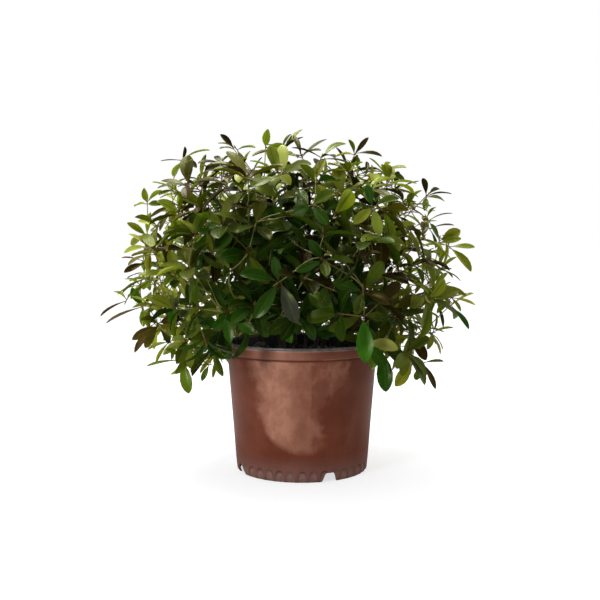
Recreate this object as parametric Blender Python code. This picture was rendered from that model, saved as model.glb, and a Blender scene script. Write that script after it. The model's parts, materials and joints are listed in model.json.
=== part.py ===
"""A cleyera shrub in its nursery pot: a plastic pot, the potting mix that fills it, and leafy stems.

Metres, +Z up. The origin is on the floor, under the middle of the whole plant's bounding box. The crown
leans to the left, so the pot's axis stands to the right of it, at POT_AXIS. Every size below is measured
from the pot's axis and from the floor.
"""

import math
from collections import namedtuple

import bmesh
import bpy
import numpy as np
from mathutils import Vector
from mathutils.bvhtree import BVHTree

MM = 0.001
UP = np.array([0.0, 0.0, 1.0])
TO_VIEWER = np.array([0.0, -1.0, 0.0])

# The pot: a tapered wall with an upright band at the rim, and a foot ring with scallops and drain arches
POT_AXIS = np.array([0.0285, -0.0025, 0.0])
POT_HEIGHT = 0.240
WALL = 0.002
FOOT_RADIUS = 0.1216
WALL_TAPER = 0.079
BAND_BOTTOM = 0.219
BAND_RADIUS = 0.1402
FLOOR_UNDERSIDE = 0.0185
FLOOR_THICKNESS = 0.0025
SCALLOPS = 38
SCALLOP_DEPTH = 0.0013
SCALLOP_TOP = 0.022
FOOT_ROUND = 0.0041
ARCHES = 4
ARCH_PHASE = math.radians(-66)
# Half of an arch's outline, along the wall and up, and how far from the axis arches and slots reach
ARCH_HALF = [(0.0155, -0.001), (0.0110, 0.0095), (0.0087, 0.0142), (0.0056, 0.0166)]
ARCH_REACH = (0.112, 0.132)
SLOT_HALF_WIDTH = 0.014
SLOT_REACH = (0.094, 0.106)

# The potting mix, and the gap that keeps two solids apart where they touch
GAP = 0.0003
MIX_TOP = 0.212
MIX_LUMP = 0.0022
MIX_RINGS = (0.80, 0.56, 0.30)
MIX_SIDES = 40

# The stems: where each leaves the mix, in mm from the pot's axis, and how deep it stands
STEM_FEET = [(7, -24), (37, -30), (-32, 2), (-12, 38), (26, 30), (-38, -36)]
STEM_DEPTH = 0.045
STEM_SIDES = 6
STEM_STRAIGHT = 0.006
STEM_FORK_HEIGHT = 0.285
STEM_FORK_STEP = 0.006
STEM_SPREAD = 1.75
STEM_LEAN = 1.0
STEM_FOOT_RADIUS = 0.0042
STEM_FORK_RADIUS = 0.0034

# The twigs: how they are joined on, how they turn, and how thick they are
STEM_FORKS = 4
TWIG_FORKS = 3
TURN_COST = 0.75
WAY_COST = 0.30
TWIG_CLEARANCE = 0.008
POT_CLEARANCE = 0.006
TWIG_LIFT_HIGH = 0.30
TWIG_LIFT_LOW = -0.05
TWIG_FLARE = 0.35
TWIG_STEPS = 2
TIP_RADIUS = 0.0015
PIPE_POWER = 0.4
FORK_SWELL = 1.12

# The crown: how far its outermost shoots stand from its middle at each elevation, and how low it hangs
CROWN_MIDDLE = np.array([-0.020, 0.0, 0.330])
CROWN_ELEVATIONS_DEG = [-40, -30, -20, 0, 40, 60, 90]
CROWN_REACH = [0.215, 0.245, 0.262, 0.296, 0.298, 0.286, 0.256]
CROWN_SHALLOWER = 0.10
HEM_FRONT_DEG = -6
HEM_SIDE_DEG = -38
SHOOT_CLEARANCE = 0.030
REACH_JITTER = 0.05
SITE_JITTER = 0.010
# Each shell of shoots that the rule places: its share of the reach, how many sites are tried and the least
# distance between shoots, then how many leaves a shoot has and how many degrees they stand away from it
SHELLS = [
    (1.00, 190, 0.082, 6, (50, 82)),
    (0.70, 90, 0.088, 5, (45, 75)),
    (0.42, 40, 0.085, 4, (45, 75)),
]

# The leaves, the bands of a shoot that they grow from, and how each may turn from its first place until
# it fits: the share of its depth and its tilt for one set by hand, its turn round the shoot and towards it
# for one of a whorl
LEAF_BAND = 0.0030
HAND_TRIES = [(1, 0), (1, 0.5), (0.7, 0), (-1, 0), (0.7, -0.5), (-0.7, 0.4), (0.3, 0.2), (-0.3, -0.3)]
WHORL_TRIES = [(0, 0), (0.35, 0), (-0.35, 0), (0.2, -0.25), (-0.2, 0.25), (0.6, -0.1), (-0.6, 0.1)]
LEAF_LENGTH = 0.056
LEAF_WIDTH_SHARE = 0.40
LEAF_THICKNESS = 0.0018
LEAF_ROWS = [(0.42, 0.92), (0.75, 0.88)]
LEAF_NEIGHBOURS = 0.095
ROOT_TRIM = 0.05

# Each shoot set by hand: its place in mm from the pot's axis and above the floor (right, away from the
# viewer, up), then its leaves, each with its reach to the right and up in mm and a face number: 0 for a
# blade that looks up, 1 for one that looks at the viewer
SHOOTS = [
    ((-215, -20, 577),
     [(5, 16, 0.6), (-39, -9, 0.1), (-24, -33, 0.8), (50, 10, 0.2), (27, -22, 0.9), (-20, -60, 0.3)]),
    ((-125, 40, 600), [(-29, 25, 0.7), (39, -3, 0.2), (-31, 5, 0.1), (12, -24, 0.8)]),
    ((-65, -60, 594), [(6, 25, 0.8), (-14, 21, 0.1), (39, -5, 0.9), (35, -33, 1.0)]),
    ((-140, -90, 564), [(-27, -19, 0.8), (-40, -6, 0.3), (55, -26, 0.3), (-15, 12, 0.5), (24, 9, 0.4)]),
    ((-290, 20, 499), [(1, 23, 1.0), (-29, -9, 0.4), (-26, -38, 0.5), (31, -9, 0.7), (34, 18, 0.1)]),
    ((-233, -50, 521), [(-30, 7, 0.2), (-20, -16, 0.4), (22, -30, 0.8), (30, 14, 0.3)]),
    ((-282, -30, 441), [(-30, 16, 0.7), (-36, -23, 0.8), (-5, -26, 0.3), (11, 35, 0.6)]),
    ((-303, 30, 362), [(-56, -5, 0.1), (-33, -9, 0.2), (14, 28, 0.4), (20, -30, 0.7)]),
    ((-284, -60, 391), [(-30, -22, 0.7), (-34, 4, 0.2), (18, 34, 0.6), (34, -14, 0.5)]),
    ((-328, 0, 312), [(-51, -29, 0.1), (-6, -51, 0.4), (28, 16, 0.3), (-18, 20, 0.2)]),
    ((-290, -50, 306), [(-62, -29, 0.1), (8, -34, 0.7), (-14, 36, 0.8), (36, -8, 0.3)]),
    ((-273, 20, 262), [(-41, -47, 0.4), (-4, -40, 0.6), (30, -20, 0.4)]),
    ((-221, -60, 207), [(-57, -6, 0.1), (18, -56, 1.0), (34, 10, 0.7), (-22, 26, 0.5)]),
    ((-174, 10, 192), [(33, -27, 0.2), (-11, -26, 0.5), (-36, 12, 0.4)]),
    ((99, -20, 588), [(20, 21, 0.7), (-15, 18, 0.1), (46, -11, 0.4), (-35, -7, 0.3), (4, -25, 0.9)]),
    ((153, 30, 557), [(40, 3, 0.4), (15, 18, 0.4), (37, -20, 0.6), (-20, -22, 0.8)]),
    ((233, 0, 511), [(27, 11, 0.5), (40, -1, 0.3), (-14, 27, 0.2), (36, -12, 0.5), (-10, -32, 0.8)]),
    ((278, 20, 412), [(44, 1, 0.5), (37, -45, 0.5), (-20, 24, 0.3), (-14, -30, 0.6)]),
    ((251, -30, 429), [(35, 0, 0.8), (36, 15, 0.9), (4, -34, 0.7), (-22, 26, 0.6)]),
    ((246, 60, 448), [(-9, 25, 0.8), (42, 6, 0.2), (14, -38, 0.3)]),
    ((280, 0, 307), [(29, -46, 0.3), (-9, -52, 0.5), (34, 22, 0.3), (12, -30, 0.8)]),
    ((225, -60, 347), [(54, -11, 0.4), (30, -34, 0.7), (-24, 30, 0.6), (6, -44, 0.5)]),
    ((206, -20, 252), [(70, -19, 0.2), (22, -46, 0.8), (-17, -52, 0.8), (-46, -20, 0.9)]),
    ((139, -80, 229), [(10, -76, 0.8), (-20, 20, 0.5)]),
    ((206, 0, 196), [(-33, -41, 0.9), (24, -18, 0.6)]),
    ((233, 40, 192), [(20, -48, 0.2), (-12, -38, 0.7), (34, 6, 0.3)]),
    ((100, -215, 302), [(2, -74, 0.9), (-58, -22, 0.9), (36, -6, 0.7), (-20, 40, 0.8)]),
    ((-41, -255, 357), [(-3, 44, 1.0), (-58, 16, 0.6), (-34, -54, 0.9), (32, -62, 0.9), (50, 20, 0.5)]),
    ((-230, -120, 322), [(-24, 22, 0.5), (44, -6, 0.6), (8, -46, 0.9), (-46, -14, 0.2)]),
    ((-129, -202, 308), [(-40, -8, 0.7), (12, -50, 0.9), (46, -36, 0.9), (-22, 38, 0.6), (38, 26, 0.5)]),
    ((27, -264, 399), [(-18, 28, 1.0), (-36, -22, 0.9), (56, -10, 0.4), (10, -30, 0.8)]),
    ((97, -240, 350), [(34, 42, 0.9), (-50, 10, 0.8), (-14, -42, 0.9), (44, -26, 0.6)]),
    ((16, -224, 482), [(34, 20, 0.7), (-30, -14, 0.8), (26, -34, 0.8), (-22, 26, 0.5)]),
    ((115, -214, 480), [(-34, -28, 0.9), (40, 12, 0.5), (8, -48, 0.9), (-14, 34, 0.7)]),
]

Leaf = namedtuple("Leaf", "site seat tip normal width arch")
Twig = namedtuple("Twig", "stem start end lead_out lead_in")


def unit(v):
    return v / np.linalg.norm(v)


def elevation_deg(direction):
    return math.degrees(math.asin(max(-1.0, min(1.0, direction[2]))))


def crown_reach(direction):
    """Distance from the crown's middle to its outermost shoots, by elevation, a little less front to back."""
    reach = np.interp(elevation_deg(direction), CROWN_ELEVATIONS_DEG, CROWN_REACH)
    return reach * (1 - CROWN_SHALLOWER * direction[1] ** 2)


def hem_deg(direction):
    """The lowest elevation that still has shoots: high over the pot's front, low at its sides and back."""
    frontness = max(0.0, float(unit(direction * [1, 1, 0]) @ TO_VIEWER))
    return HEM_SIDE_DEG + (HEM_FRONT_DEG - HEM_SIDE_DEG) * frontness**1.5


def inside_pot(point, margin):
    """Whether a point, measured from the pot's axis, lies in the pot or the space over its mix."""
    return point[2] < POT_HEIGHT + margin and math.hypot(point[0], point[1]) < BAND_RADIUS + margin


def spread_sites(count, shell, spacing, taken, seed):
    """Sites spread over one shell of the crown: a golden-angle spiral on a sphere, with a little jitter."""
    rng = np.random.default_rng(seed)
    turn = math.pi * (3 - math.sqrt(5))
    found = []
    for i in range(count):
        up = 1 - 2 * (i + 0.5) / count
        ring = math.sqrt(1 - up * up)
        direction = np.array([ring * math.cos(i * turn), ring * math.sin(i * turn), up])
        jitter = rng.uniform(-1, 1, 3)
        if elevation_deg(direction) < hem_deg(direction):
            continue
        reach = crown_reach(direction) * shell * (1 + REACH_JITTER * jitter[0])
        point = CROWN_MIDDLE + direction * reach + SITE_JITTER * jitter
        near = [np.linalg.norm(point - other) for other in [*taken, *found]]
        if not inside_pot(point, SHOOT_CLEARANCE) and min(near, default=1) > spacing:
            found.append(point)
    return found


def bezier(twig, steps):
    """Points along a twig: a cubic curve that leaves along lead_out and arrives along lead_in."""
    reach = np.linalg.norm(twig.end - twig.start) / 3
    t = np.linspace(0, 1, steps + 1)[:, None]
    first, last = twig.start + reach * twig.lead_out, twig.end - reach * twig.lead_in
    s = 1 - t
    return s**3 * twig.start + 3 * s**2 * t * first + 3 * s * t**2 * last + t**3 * twig.end


def segment_gap(a0, a1, b0, b1):
    """Smallest distance between segment a and each segment of b, by sampling a and projecting on b."""
    t = np.linspace(0, 1, 9)[:, None, None]
    p = a0 + t * (a1 - a0)
    along = b1 - b0
    share = np.clip(((p - b0) * along).sum(-1) / (along * along).sum(-1), 0, 1)
    return np.linalg.norm(p - (b0 + share[..., None] * along), axis=-1).min()


class Tree:
    """Stems that fork at the crown's base, and the twigs that join every site to one of them."""

    def __init__(self):
        self.points, self.stem, self.way, self.lead = [], [], [], []
        self.parent, self.children, self.twigs = [], [], []
        for k, (x, y) in enumerate(STEM_FEET):
            foot = np.array([x, y, 0]) * MM
            fork = foot * STEM_SPREAD + UP * (STEM_FORK_HEIGHT + STEM_FORK_STEP * (k % 3))
            self.add(fork, k, 0.0, unit(foot * STEM_LEAN + UP * 0.050), None, None)

    def add(self, point, stem, way, lead, parent, twig):
        self.points.append(point)
        self.stem.append(stem)
        self.way.append(way)
        self.lead.append(lead)
        self.parent.append(parent)
        self.twigs.append(twig)
        self.children.append(0)

    def twig(self, p, site):
        """The twig from point p to a site: it sets off near the way p points, and ends turned outwards."""
        chord = unit(site - self.points[p])
        outward = unit(site - CROWN_MIDDLE)
        lift = TWIG_LIFT_HIGH if site[2] > CROWN_MIDDLE[2] else TWIG_LIFT_LOW
        lead_in = unit(chord + TWIG_FLARE * outward + lift * UP)
        lead_out = unit(0.65 * chord + 0.45 * self.lead[p])
        return Twig(self.stem[p], self.points[p], site, lead_out, lead_in)

    def clear(self, twig):
        """Whether a twig keeps out of the pot, and TWIG_CLEARANCE away from those of the other stems."""
        if any(inside_pot(point, POT_CLEARANCE) for point in bezier(twig, 6)):
            return False
        others = [bezier(t, TWIG_STEPS) for t in self.twigs if t and t.stem != twig.stem]
        if not others:
            return True
        starts = np.concatenate([o[:-1] for o in others])
        ends = np.concatenate([o[1:] for o in others])
        line = bezier(twig, TWIG_STEPS)
        gaps = [segment_gap(line[i], line[i + 1], starts, ends) for i in range(TWIG_STEPS)]
        return min(gaps) > TWIG_CLEARANCE

    def cheapest_join(self, sites, waiting, refused):
        """The point and the waiting site that are nearest, with part of the way back to the mix and the
        turn that the twig between them makes counted in."""
        best, least = None, math.inf
        for p, point in enumerate(self.points):
            if self.children[p] >= (STEM_FORKS if self.parent[p] is None else TWIG_FORKS):
                continue
            for s in waiting:
                step = sites[s] - point
                length = math.sqrt(step @ step)
                turn = 1 - (step @ self.lead[p]) / length
                cost = length * (1 + TURN_COST * turn) + WAY_COST * self.way[p]
                if cost < least and (p, s) not in refused:
                    best, least = (p, s), cost
        return best

    def grow(self, sites):
        """Joins the sites on one by one: each becomes a shoot of the stem that it costs least to join."""
        waiting, refused = list(range(len(sites))), set()
        while waiting:
            best = self.cheapest_join(sites, waiting, refused)
            if best is None:
                return
            p, s = best
            twig = self.twig(p, sites[s])
            if not self.clear(twig):
                refused.add(best)
                continue
            way = self.way[p] + np.linalg.norm(sites[s] - self.points[p])
            self.add(sites[s], self.stem[p], way, twig.lead_in, p, twig)
            self.children[p] += 1
            waiting.remove(s)

    def tips_carried(self):
        """How many shoot tips each point carries."""
        carried = [1 if n == 0 else 0 for n in self.children]
        for i in reversed(range(len(self.points))):
            if self.parent[i] is not None:
                carried[self.parent[i]] += carried[i]
        return carried


def tube(line, radii, sides):
    """A closed tube along a line of points, with its own radius at each and both ends capped."""
    ahead = np.gradient(line, axis=0)
    side = unit(np.cross(ahead[0], [0.31, 0.95, 0.02]))
    rings = []
    for point, way, radius in zip(line, ahead, radii):
        side = unit(side - (side @ unit(way)) * unit(way))
        other = np.cross(unit(way), side)
        for k in range(sides):
            turn = math.tau * k / sides
            rings.append(point + radius * (math.cos(turn) * side + math.sin(turn) * other))
    faces = [tuple(range(sides))[::-1], tuple(range(len(rings) - sides, len(rings)))]
    for row in range(0, len(rings) - sides, sides):
        for k in range(sides):
            after = (k + 1) % sides
            faces.append((row + k, row + after, row + sides + after, row + sides + k))
    return np.array(rings), faces


def shoot_head(twig, thin, thick, leaf_count, forks):
    """A twig as a closed three-sided tube: its points, its plain faces, and its seats for leaves. The seats
    lie near its end, in short bands that each turn by a sixth, so every band has six small triangles that
    face six ways. Both ends are sunk one radius into what they meet."""
    line = bezier(twig, TWIG_STEPS)
    line[0] -= unit(line[1] - line[0]) * thick
    way = unit(line[2] - line[1])
    bands = math.ceil(leaf_count / 2)
    tip = line[2] + way * thin
    first = thin + (LEAF_BAND if forks else 0.0)
    stations = [line[0], line[1], *[tip - way * (first + LEAF_BAND * n) for n in range(bands, -1, -1)], tip]
    ways = [unit(line[1] - line[0]), unit(line[2] - line[0])] + [way] * (bands + 2)
    radii = [thick, (thin + thick) / 2] + [thin] * (bands + 2)
    side = unit(np.cross(ways[0], [0.31, 0.95, 0.02]))
    points = []
    for n, (station, way, radius) in enumerate(zip(stations, ways, radii)):
        side = unit(side - (side @ way) * way)
        other = np.cross(way, side)
        for k in range(3):
            turn = math.tau * (k / 3 + n / 6)
            points.append(station + radius * (math.cos(turn) * side + math.sin(turn) * other))
    faces, seats = [(2, 1, 0)], []
    for row in range(len(stations) - 1):
        for k in range(3):
            a, after = 3 * row + k, 3 * row + (k + 1) % 3
            pair = [(a, after, a + 3), (after, after + 3, a + 3)]
            (seats if 2 <= row < 2 + bands else faces).extend(pair)
    faces.append(tuple(range(len(points) - 3, len(points))))
    return points, faces, seats


def shoot_mesh(head, leaves):
    """A twig and its leaves in one closed skin: each leaf takes the place of the seat it grows from."""
    points, faces, seats = list(head[0]), list(head[1]), list(head[2])
    for leaf in leaves:
        seats.remove(leaf.seat)
        blade, blade_faces, turn = leaf_mesh(leaf, head)
        names = [*leaf.seat[turn:], *leaf.seat[:turn], *range(len(points), len(points) + 7)]
        points.extend(blade[3:])
        faces += [tuple(names[v] for v in face) for face in blade_faces[1:]]
    return points, faces + seats


def named_faces(leaf, head):
    """A leaf's faces by the names of their corners: those on its seat are the twig's own points."""
    _, faces, turn = leaf_mesh(leaf, head)
    names = [*leaf.seat[turn:], *leaf.seat[:turn], *[(leaf.seat, v) for v in range(7)]]
    return [tuple(names[v] for v in face) for face in faces]


def seat_corners(head, seat):
    return np.array([head[0][v] for v in seat])


def choose_seat(head, taken, way):
    """The free seat that faces most nearly a leaf's way."""
    def facing(seat):
        a, b, c = seat_corners(head, seat)
        return unit(np.cross(b - a, c - a)) @ way
    return max((seat for seat in head[2] if seat not in taken), key=facing)


def stem_mesh(tree, k):
    """A stem: upright where it stands in the mix, then bent outwards up to its fork."""
    foot = np.array([*STEM_FEET[k], 0]) * MM
    start = foot + UP * (MIX_TOP + STEM_STRAIGHT)
    rise = bezier(Twig(k, start, tree.points[k], UP, tree.lead[k]), 3)
    line = np.concatenate([[foot + UP * (MIX_TOP - STEM_DEPTH + GAP)], rise])
    line[-1] += tree.lead[k] * STEM_FORK_RADIUS
    return tube(line, np.linspace(STEM_FOOT_RADIUS, STEM_FORK_RADIUS, len(line)), STEM_SIDES)


def leaf_faces(points):
    """The triangles of a leaf's three rings of three points and its tip. Each four-sided face between two
    rings is split along the line that stands outwards, so the skin never folds into itself."""
    faces = [(2, 1, 0)]
    for row in (0, 3):
        for k in range(3):
            a, after = row + k, row + (k + 1) % 3
            normal = np.cross(points[after] - points[a], points[a + 3] - points[a])
            if normal @ (points[after + 3] - points[a]) < 0:
                faces += [(a, after, a + 3), (after, after + 3, a + 3)]
            else:
                faces += [(a, after, after + 3), (a, after + 3, a + 3)]
    return faces + [(6 + k, 6 + (k + 1) % 3, 9) for k in range(3)]


def leaf_mesh(leaf, head, trim=0.0, grown=0.0):
    """A blade of triangular section, its keel below its two edges: the seat that it grows from, two rows
    and a tip. It bulges upwards between base and tip. For the tests of crossing, trim cuts off the share of
    the petiole next to the seat, and grown makes it larger all round."""
    corners = seat_corners(head, leaf.seat)
    base = corners.mean(0)
    chord = leaf.tip - base
    length = np.linalg.norm(chord)
    across = np.cross(chord / length, leaf.normal)
    rows = []
    for u, share in LEAF_ROWS:
        out = across * (share * leaf.width / 2 + 2 * grown)
        middle = base + u * chord + leaf.normal * length * leaf.arch * 4 * u * (1 - u)
        half_depth = leaf.normal * (LEAF_THICKNESS / 2 + grown)
        rows += [middle + half_depth - out, middle + half_depth + out, middle - half_depth]
    wide = np.array(rows[:3])
    wanted = wide - wide.mean(0)
    turn = max(range(3), key=lambda n: (np.roll(corners - base, -n, axis=0) * wanted).sum())
    root = np.roll(corners, -turn, axis=0)
    root = base + (root - base) * (1 + grown / 0.001) if grown else root
    root = root + trim * (wide - root)
    points = np.array([*root, *rows, leaf.tip + chord / length * 2 * grown])
    return points, leaf_faces(points), turn


def bvh(points, faces, *_):
    return BVHTree.FromPolygons([Vector(p) for p in points], faces)


def pot_guard():
    """The pot and the space over its mix, a little larger, as a solid that leaves and twigs keep out of."""
    line = np.array([UP * 0.0, UP * (POT_HEIGHT + POT_CLEARANCE)])
    return bvh(*tube(line, [FOOT_RADIUS + POT_CLEARANCE, BAND_RADIUS + POT_CLEARANCE], 24))


class Foliage:
    """Leaves, each set down only where it crosses nothing that is already there."""

    def __init__(self, tree, planned):
        carried = tree.tips_carried()
        self.tree = tree
        self.pot = pot_guard()
        self.leaves, self.trees, self.middles = [], [], []
        self.heads, self.tubes = {}, {}
        for i, twig in enumerate(tree.twigs):
            if twig:
                radii = twig_radii(tree, carried, i)
                head = shoot_head(twig, *radii, planned.get(i, 0), tree.children[i] > 0)
                size = np.linalg.norm(twig.end - twig.start) / 2 + 0.01
                self.heads[i] = head
                self.tubes[i] = bvh(head[0], head[1] + head[2]), (twig.start + twig.end) / 2, size

    def fits(self, leaf):
        head = self.heads[leaf.site]
        mesh = leaf_mesh(leaf, head, ROOT_TRIM, GAP)
        if any(inside_pot(p, POT_CLEARANCE) for p in mesh[0]):
            return False
        body = bvh(*mesh)
        if body.overlap(self.pot):
            return False
        middle, size = mesh[0][3:6].mean(0), np.linalg.norm(mesh[0][9] - mesh[0][0]) * 0.62
        for i, (twig, other, reach) in self.tubes.items():
            if np.linalg.norm(middle - other) < size + reach and body.overlap(twig):
                return False
        near = np.linalg.norm(np.array(self.middles).reshape(-1, 3) - middle, axis=1) < LEAF_NEIGHBOURS
        if any(body.overlap(self.trees[i]) for i in np.nonzero(near)[0]):
            return False
        return self.root_is_clear(leaf)

    def root_is_clear(self, leaf):
        """Whether a leaf, right down to its seat, cuts no face of its own shoot apart from those that share
        a corner with it."""
        points, faces, seats = self.heads[leaf.site]
        root = named_faces(leaf, self.heads[leaf.site])
        body = bvh(*leaf_mesh(leaf, self.heads[leaf.site]))
        skins = [(self.tubes[leaf.site][0], faces + seats), (body, root)]
        for i, other in enumerate(self.leaves):
            if other.site == leaf.site:
                skins.append((self.trees[i], named_faces(other, self.heads[leaf.site])))
        for skin, skin_faces in skins:
            if any(not set(root[a]) & set(skin_faces[b]) for a, b in body.overlap(skin)):
                return False
        return True

    def add_first_that_fits(self, candidates):
        for leaf in candidates:
            if self.fits(leaf):
                mesh = leaf_mesh(leaf, self.heads[leaf.site])
                self.leaves.append(leaf)
                self.trees.append(bvh(*mesh))
                self.middles.append(mesh[0][3:6].mean(0))
                return

    def taken(self, site):
        return [leaf.seat for leaf in self.leaves if leaf.site == site]


def square_to(normal, ahead):
    """The part of a normal that is square to the leaf's own direction."""
    if abs(normal @ ahead) > 0.97:
        normal = normal + np.array([0.4, -0.5, 0.3])
    return unit(normal - (normal @ ahead) * ahead)


def hand_leaves(site, foliage, leaves):
    """Candidates for each leaf set by hand: its length says how far it reaches towards the viewer or away."""
    head, point = foliage.heads[site], foliage.tree.points[site]
    towards = -1.0 if point[1] < 0.05 else 1.0
    for k, (right, up, face) in enumerate(leaves):
        rng = np.random.default_rng([31, site, k])
        seen = math.hypot(right, up) * MM
        length = max(seen * 1.03, 0.45 * seen + 0.55 * LEAF_LENGTH * rng.uniform(0.85, 1.15))
        depth = math.sqrt(length**2 - seen**2)
        width = length * LEAF_WIDTH_SHARE * rng.uniform(0.9, 1.12)
        arch = rng.uniform(0.03, 0.08)
        taken = foliage.taken(site)
        options = []
        for share, tilt in HAND_TRIES:
            tip = point + np.array([right * MM, towards * share * depth, up * MM])
            seat = choose_seat(head, taken, unit(tip - point))
            facing = unit((1 - face) * UP + face * TO_VIEWER + tilt * np.array([0.6, 0.3, 0.2]))
            normal = square_to(facing, unit(tip - seat_corners(head, seat).mean(0)))
            options.append(Leaf(site, seat, tip, normal, width, arch))
        yield options


def whorl_leaves(site, foliage, count, spread):
    """Candidates for each leaf of a false whorl: they stand out all round the shoot, and droop."""
    rng = np.random.default_rng([41, site])
    first = rng.uniform(0, math.tau)
    head, lead = foliage.heads[site], foliage.tree.lead[site]
    side = unit(np.cross(lead, [0.2, 0.3, 0.93]))
    other = np.cross(lead, side)
    for k in range(count):
        around = first + math.tau * k / count + rng.uniform(-0.3, 0.3)
        away = math.radians(rng.uniform(*spread))
        length = LEAF_LENGTH * rng.uniform(0.80, 1.22)
        width = length * LEAF_WIDTH_SHARE * rng.uniform(0.88, 1.15)
        arch, droop = rng.uniform(0.03, 0.10), rng.uniform(0.05, 0.30)
        taken = foliage.taken(site)
        options = []
        for step, narrower in WHORL_TRIES:
            turn, polar = around + step, away + narrower
            out = math.cos(turn) * side + math.sin(turn) * other
            ahead = unit(math.cos(polar) * lead + math.sin(polar) * out - droop * UP)
            seat = choose_seat(head, taken, ahead)
            tip = seat_corners(head, seat).mean(0) + ahead * length
            options.append(Leaf(site, seat, tip, square_to(unit(lead + 0.9 * UP), ahead), width, arch))
        yield options


def twig_radii(tree, carried, i):
    """A twig's radius at its tip and its root: pipes as wide as the shoots that they feed ask for."""
    children = [carried[c] for c in range(len(tree.points)) if tree.parent[c] == i]
    thin = TIP_RADIUS * max(children, default=1) ** PIPE_POWER
    return thin, FORK_SWELL * TIP_RADIUS * carried[i] ** PIPE_POWER


def grow_shrub():
    """The tree of twigs and all leaves, those set by hand first."""
    sites = [np.array(place) * MM for place, _ in SHOOTS]
    plans = [(len(leaves), None) for _, leaves in SHOOTS]
    for seed, (shell, tried, spacing, count, spread) in enumerate(SHELLS):
        found = spread_sites(tried, shell, spacing, sites, 11 + seed)
        sites += found
        plans += [(count, spread)] * len(found)
    tree = Tree()
    tree.grow(sites)
    site_of = {tuple(point): i for i, point in enumerate(tree.points)}
    planned = {site_of[tuple(point)]: plan for point, plan in zip(sites, plans) if tuple(point) in site_of}
    foliage = Foliage(tree, {i: count for i, (count, _) in planned.items()})
    by_hand = {tuple(np.array(place) * MM): leaves for place, leaves in SHOOTS}
    for i, (count, spread) in planned.items():
        leaves = by_hand.get(tuple(tree.points[i]))
        choices = hand_leaves(i, foliage, leaves) if leaves else whorl_leaves(i, foliage, count, spread)
        for options in choices:
            foliage.add_first_that_fits(options)
    return tree, foliage


def clear_scene():
    for thing in list(bpy.data.objects):
        bpy.data.objects.remove(thing, do_unlink=True)


def material(name, colour, roughness):
    made = bpy.data.materials.new(name)
    made.use_nodes = True
    shader = made.node_tree.nodes["Principled BSDF"]
    shader.inputs["Base Color"].default_value = (*colour, 1.0)
    shader.inputs["Roughness"].default_value = roughness
    return made


def new_object(name, points, faces, collection=None):
    """An object from points that are measured from the pot's axis."""
    mesh = bpy.data.meshes.new(name)
    mesh.from_pydata([tuple(p + POT_AXIS) for p in np.asarray(points)], [], faces)
    made = bpy.data.objects.new(name, mesh)
    (collection or bpy.context.scene.collection).objects.link(made)
    return made


def combine(target, others, operation, solver="EXACT"):
    """One Boolean between an object and a collection, applied, after which the collection is removed."""
    boolean = target.modifiers.new("join", "BOOLEAN")
    boolean.operation = operation
    boolean.operand_type = "COLLECTION"
    boolean.collection = others
    boolean.solver = solver
    bpy.context.view_layer.update()
    graph = bpy.context.evaluated_depsgraph_get()
    result = bpy.data.meshes.new_from_object(target.evaluated_get(graph))
    target.modifiers.remove(boolean)
    target.data = result
    for other in list(others.objects):
        bpy.data.objects.remove(other, do_unlink=True)
    bpy.data.collections.remove(others)


def temporary_collection(name):
    made = bpy.data.collections.new(name)
    bpy.context.scene.collection.children.link(made)
    return made


def keep_largest_body(target):
    """Drops loose scraps: only the body with the most faces stays."""
    shape = bmesh.new()
    shape.from_mesh(target.data)
    waiting, bodies = set(shape.verts), []
    while waiting:
        body, front = set(), [waiting.pop()]
        while front:
            vertex = front.pop()
            body.add(vertex)
            linked = {edge.other_vert(vertex) for edge in vertex.link_edges} & waiting
            waiting -= linked
            front.extend(linked)
        bodies.append(body)
    bodies.sort(key=len)
    for body in bodies[:-1]:
        bmesh.ops.delete(shape, geom=list(body), context="VERTS")
    bmesh.ops.triangulate(shape, faces=shape.faces[:])
    shape.to_mesh(target.data)
    shape.free()


def wall_radius(z):
    return FOOT_RADIUS + WALL_TAPER * z


def pot_profile():
    """The pot's closed profile as height, radius and scallop depth: up the outside from its rounded foot,
    over the rim, down the inside, across its floor, back under it and down inside the foot ring."""
    def outside(z, inwards=0.0, share=1.0):
        return z, wall_radius(z) - inwards, SCALLOP_DEPTH * share

    floor_top = FLOOR_UNDERSIDE + FLOOR_THICKNESS
    rows = [outside(0.0, FOOT_ROUND, 0.5), outside(0.003, 0.0006), outside(0.009), outside(0.0165, 0.0, 0.9)]
    rows += [outside(SCALLOP_TOP, share=0.0), outside(BAND_BOTTOM - 0.0005, share=0.0)]
    rows += [(BAND_BOTTOM + 0.0005, BAND_RADIUS, 0.0), (0.2365, BAND_RADIUS + 0.0002, 0.0)]
    rows += [(0.2392, BAND_RADIUS - 0.0004, 0.0), (POT_HEIGHT, BAND_RADIUS - 0.0014, 0.0)]
    rows += [outside(0.2390, WALL, 0.0), outside(floor_top, WALL, 0.0)]
    rows += [(floor_top, 0.0, 0.0), (FLOOR_UNDERSIDE, 0.0, 0.0)]
    rows += [outside(FLOOR_UNDERSIDE, WALL, 0.5), outside(0.008, WALL)]
    return rows + [outside(0.0, FOOT_ROUND + WALL, 0.5)]


def turned_shape(profile, sides):
    """A profile turned about the axis, with every second point of a ring drawn in by the scallop depth."""
    shape = bmesh.new()
    rings = []
    for z, radius, dent in profile:
        if radius == 0:
            rings.append([shape.verts.new((0, 0, z))] * sides)
            continue
        turns = [math.tau * k / sides for k in range(sides)]
        radii = [radius - dent * (k % 2) for k in range(sides)]
        rings.append([shape.verts.new((r * math.cos(t), r * math.sin(t), z)) for r, t in zip(radii, turns)])
    for low, high in zip(rings, rings[1:] + rings[:1]):
        for k in range(sides):
            corners = [low[k], low[(k + 1) % sides], high[(k + 1) % sides], high[k]]
            corners = list(dict.fromkeys(corners))
            if len(corners) > 2:
                shape.faces.new(corners)
    return shape


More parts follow.
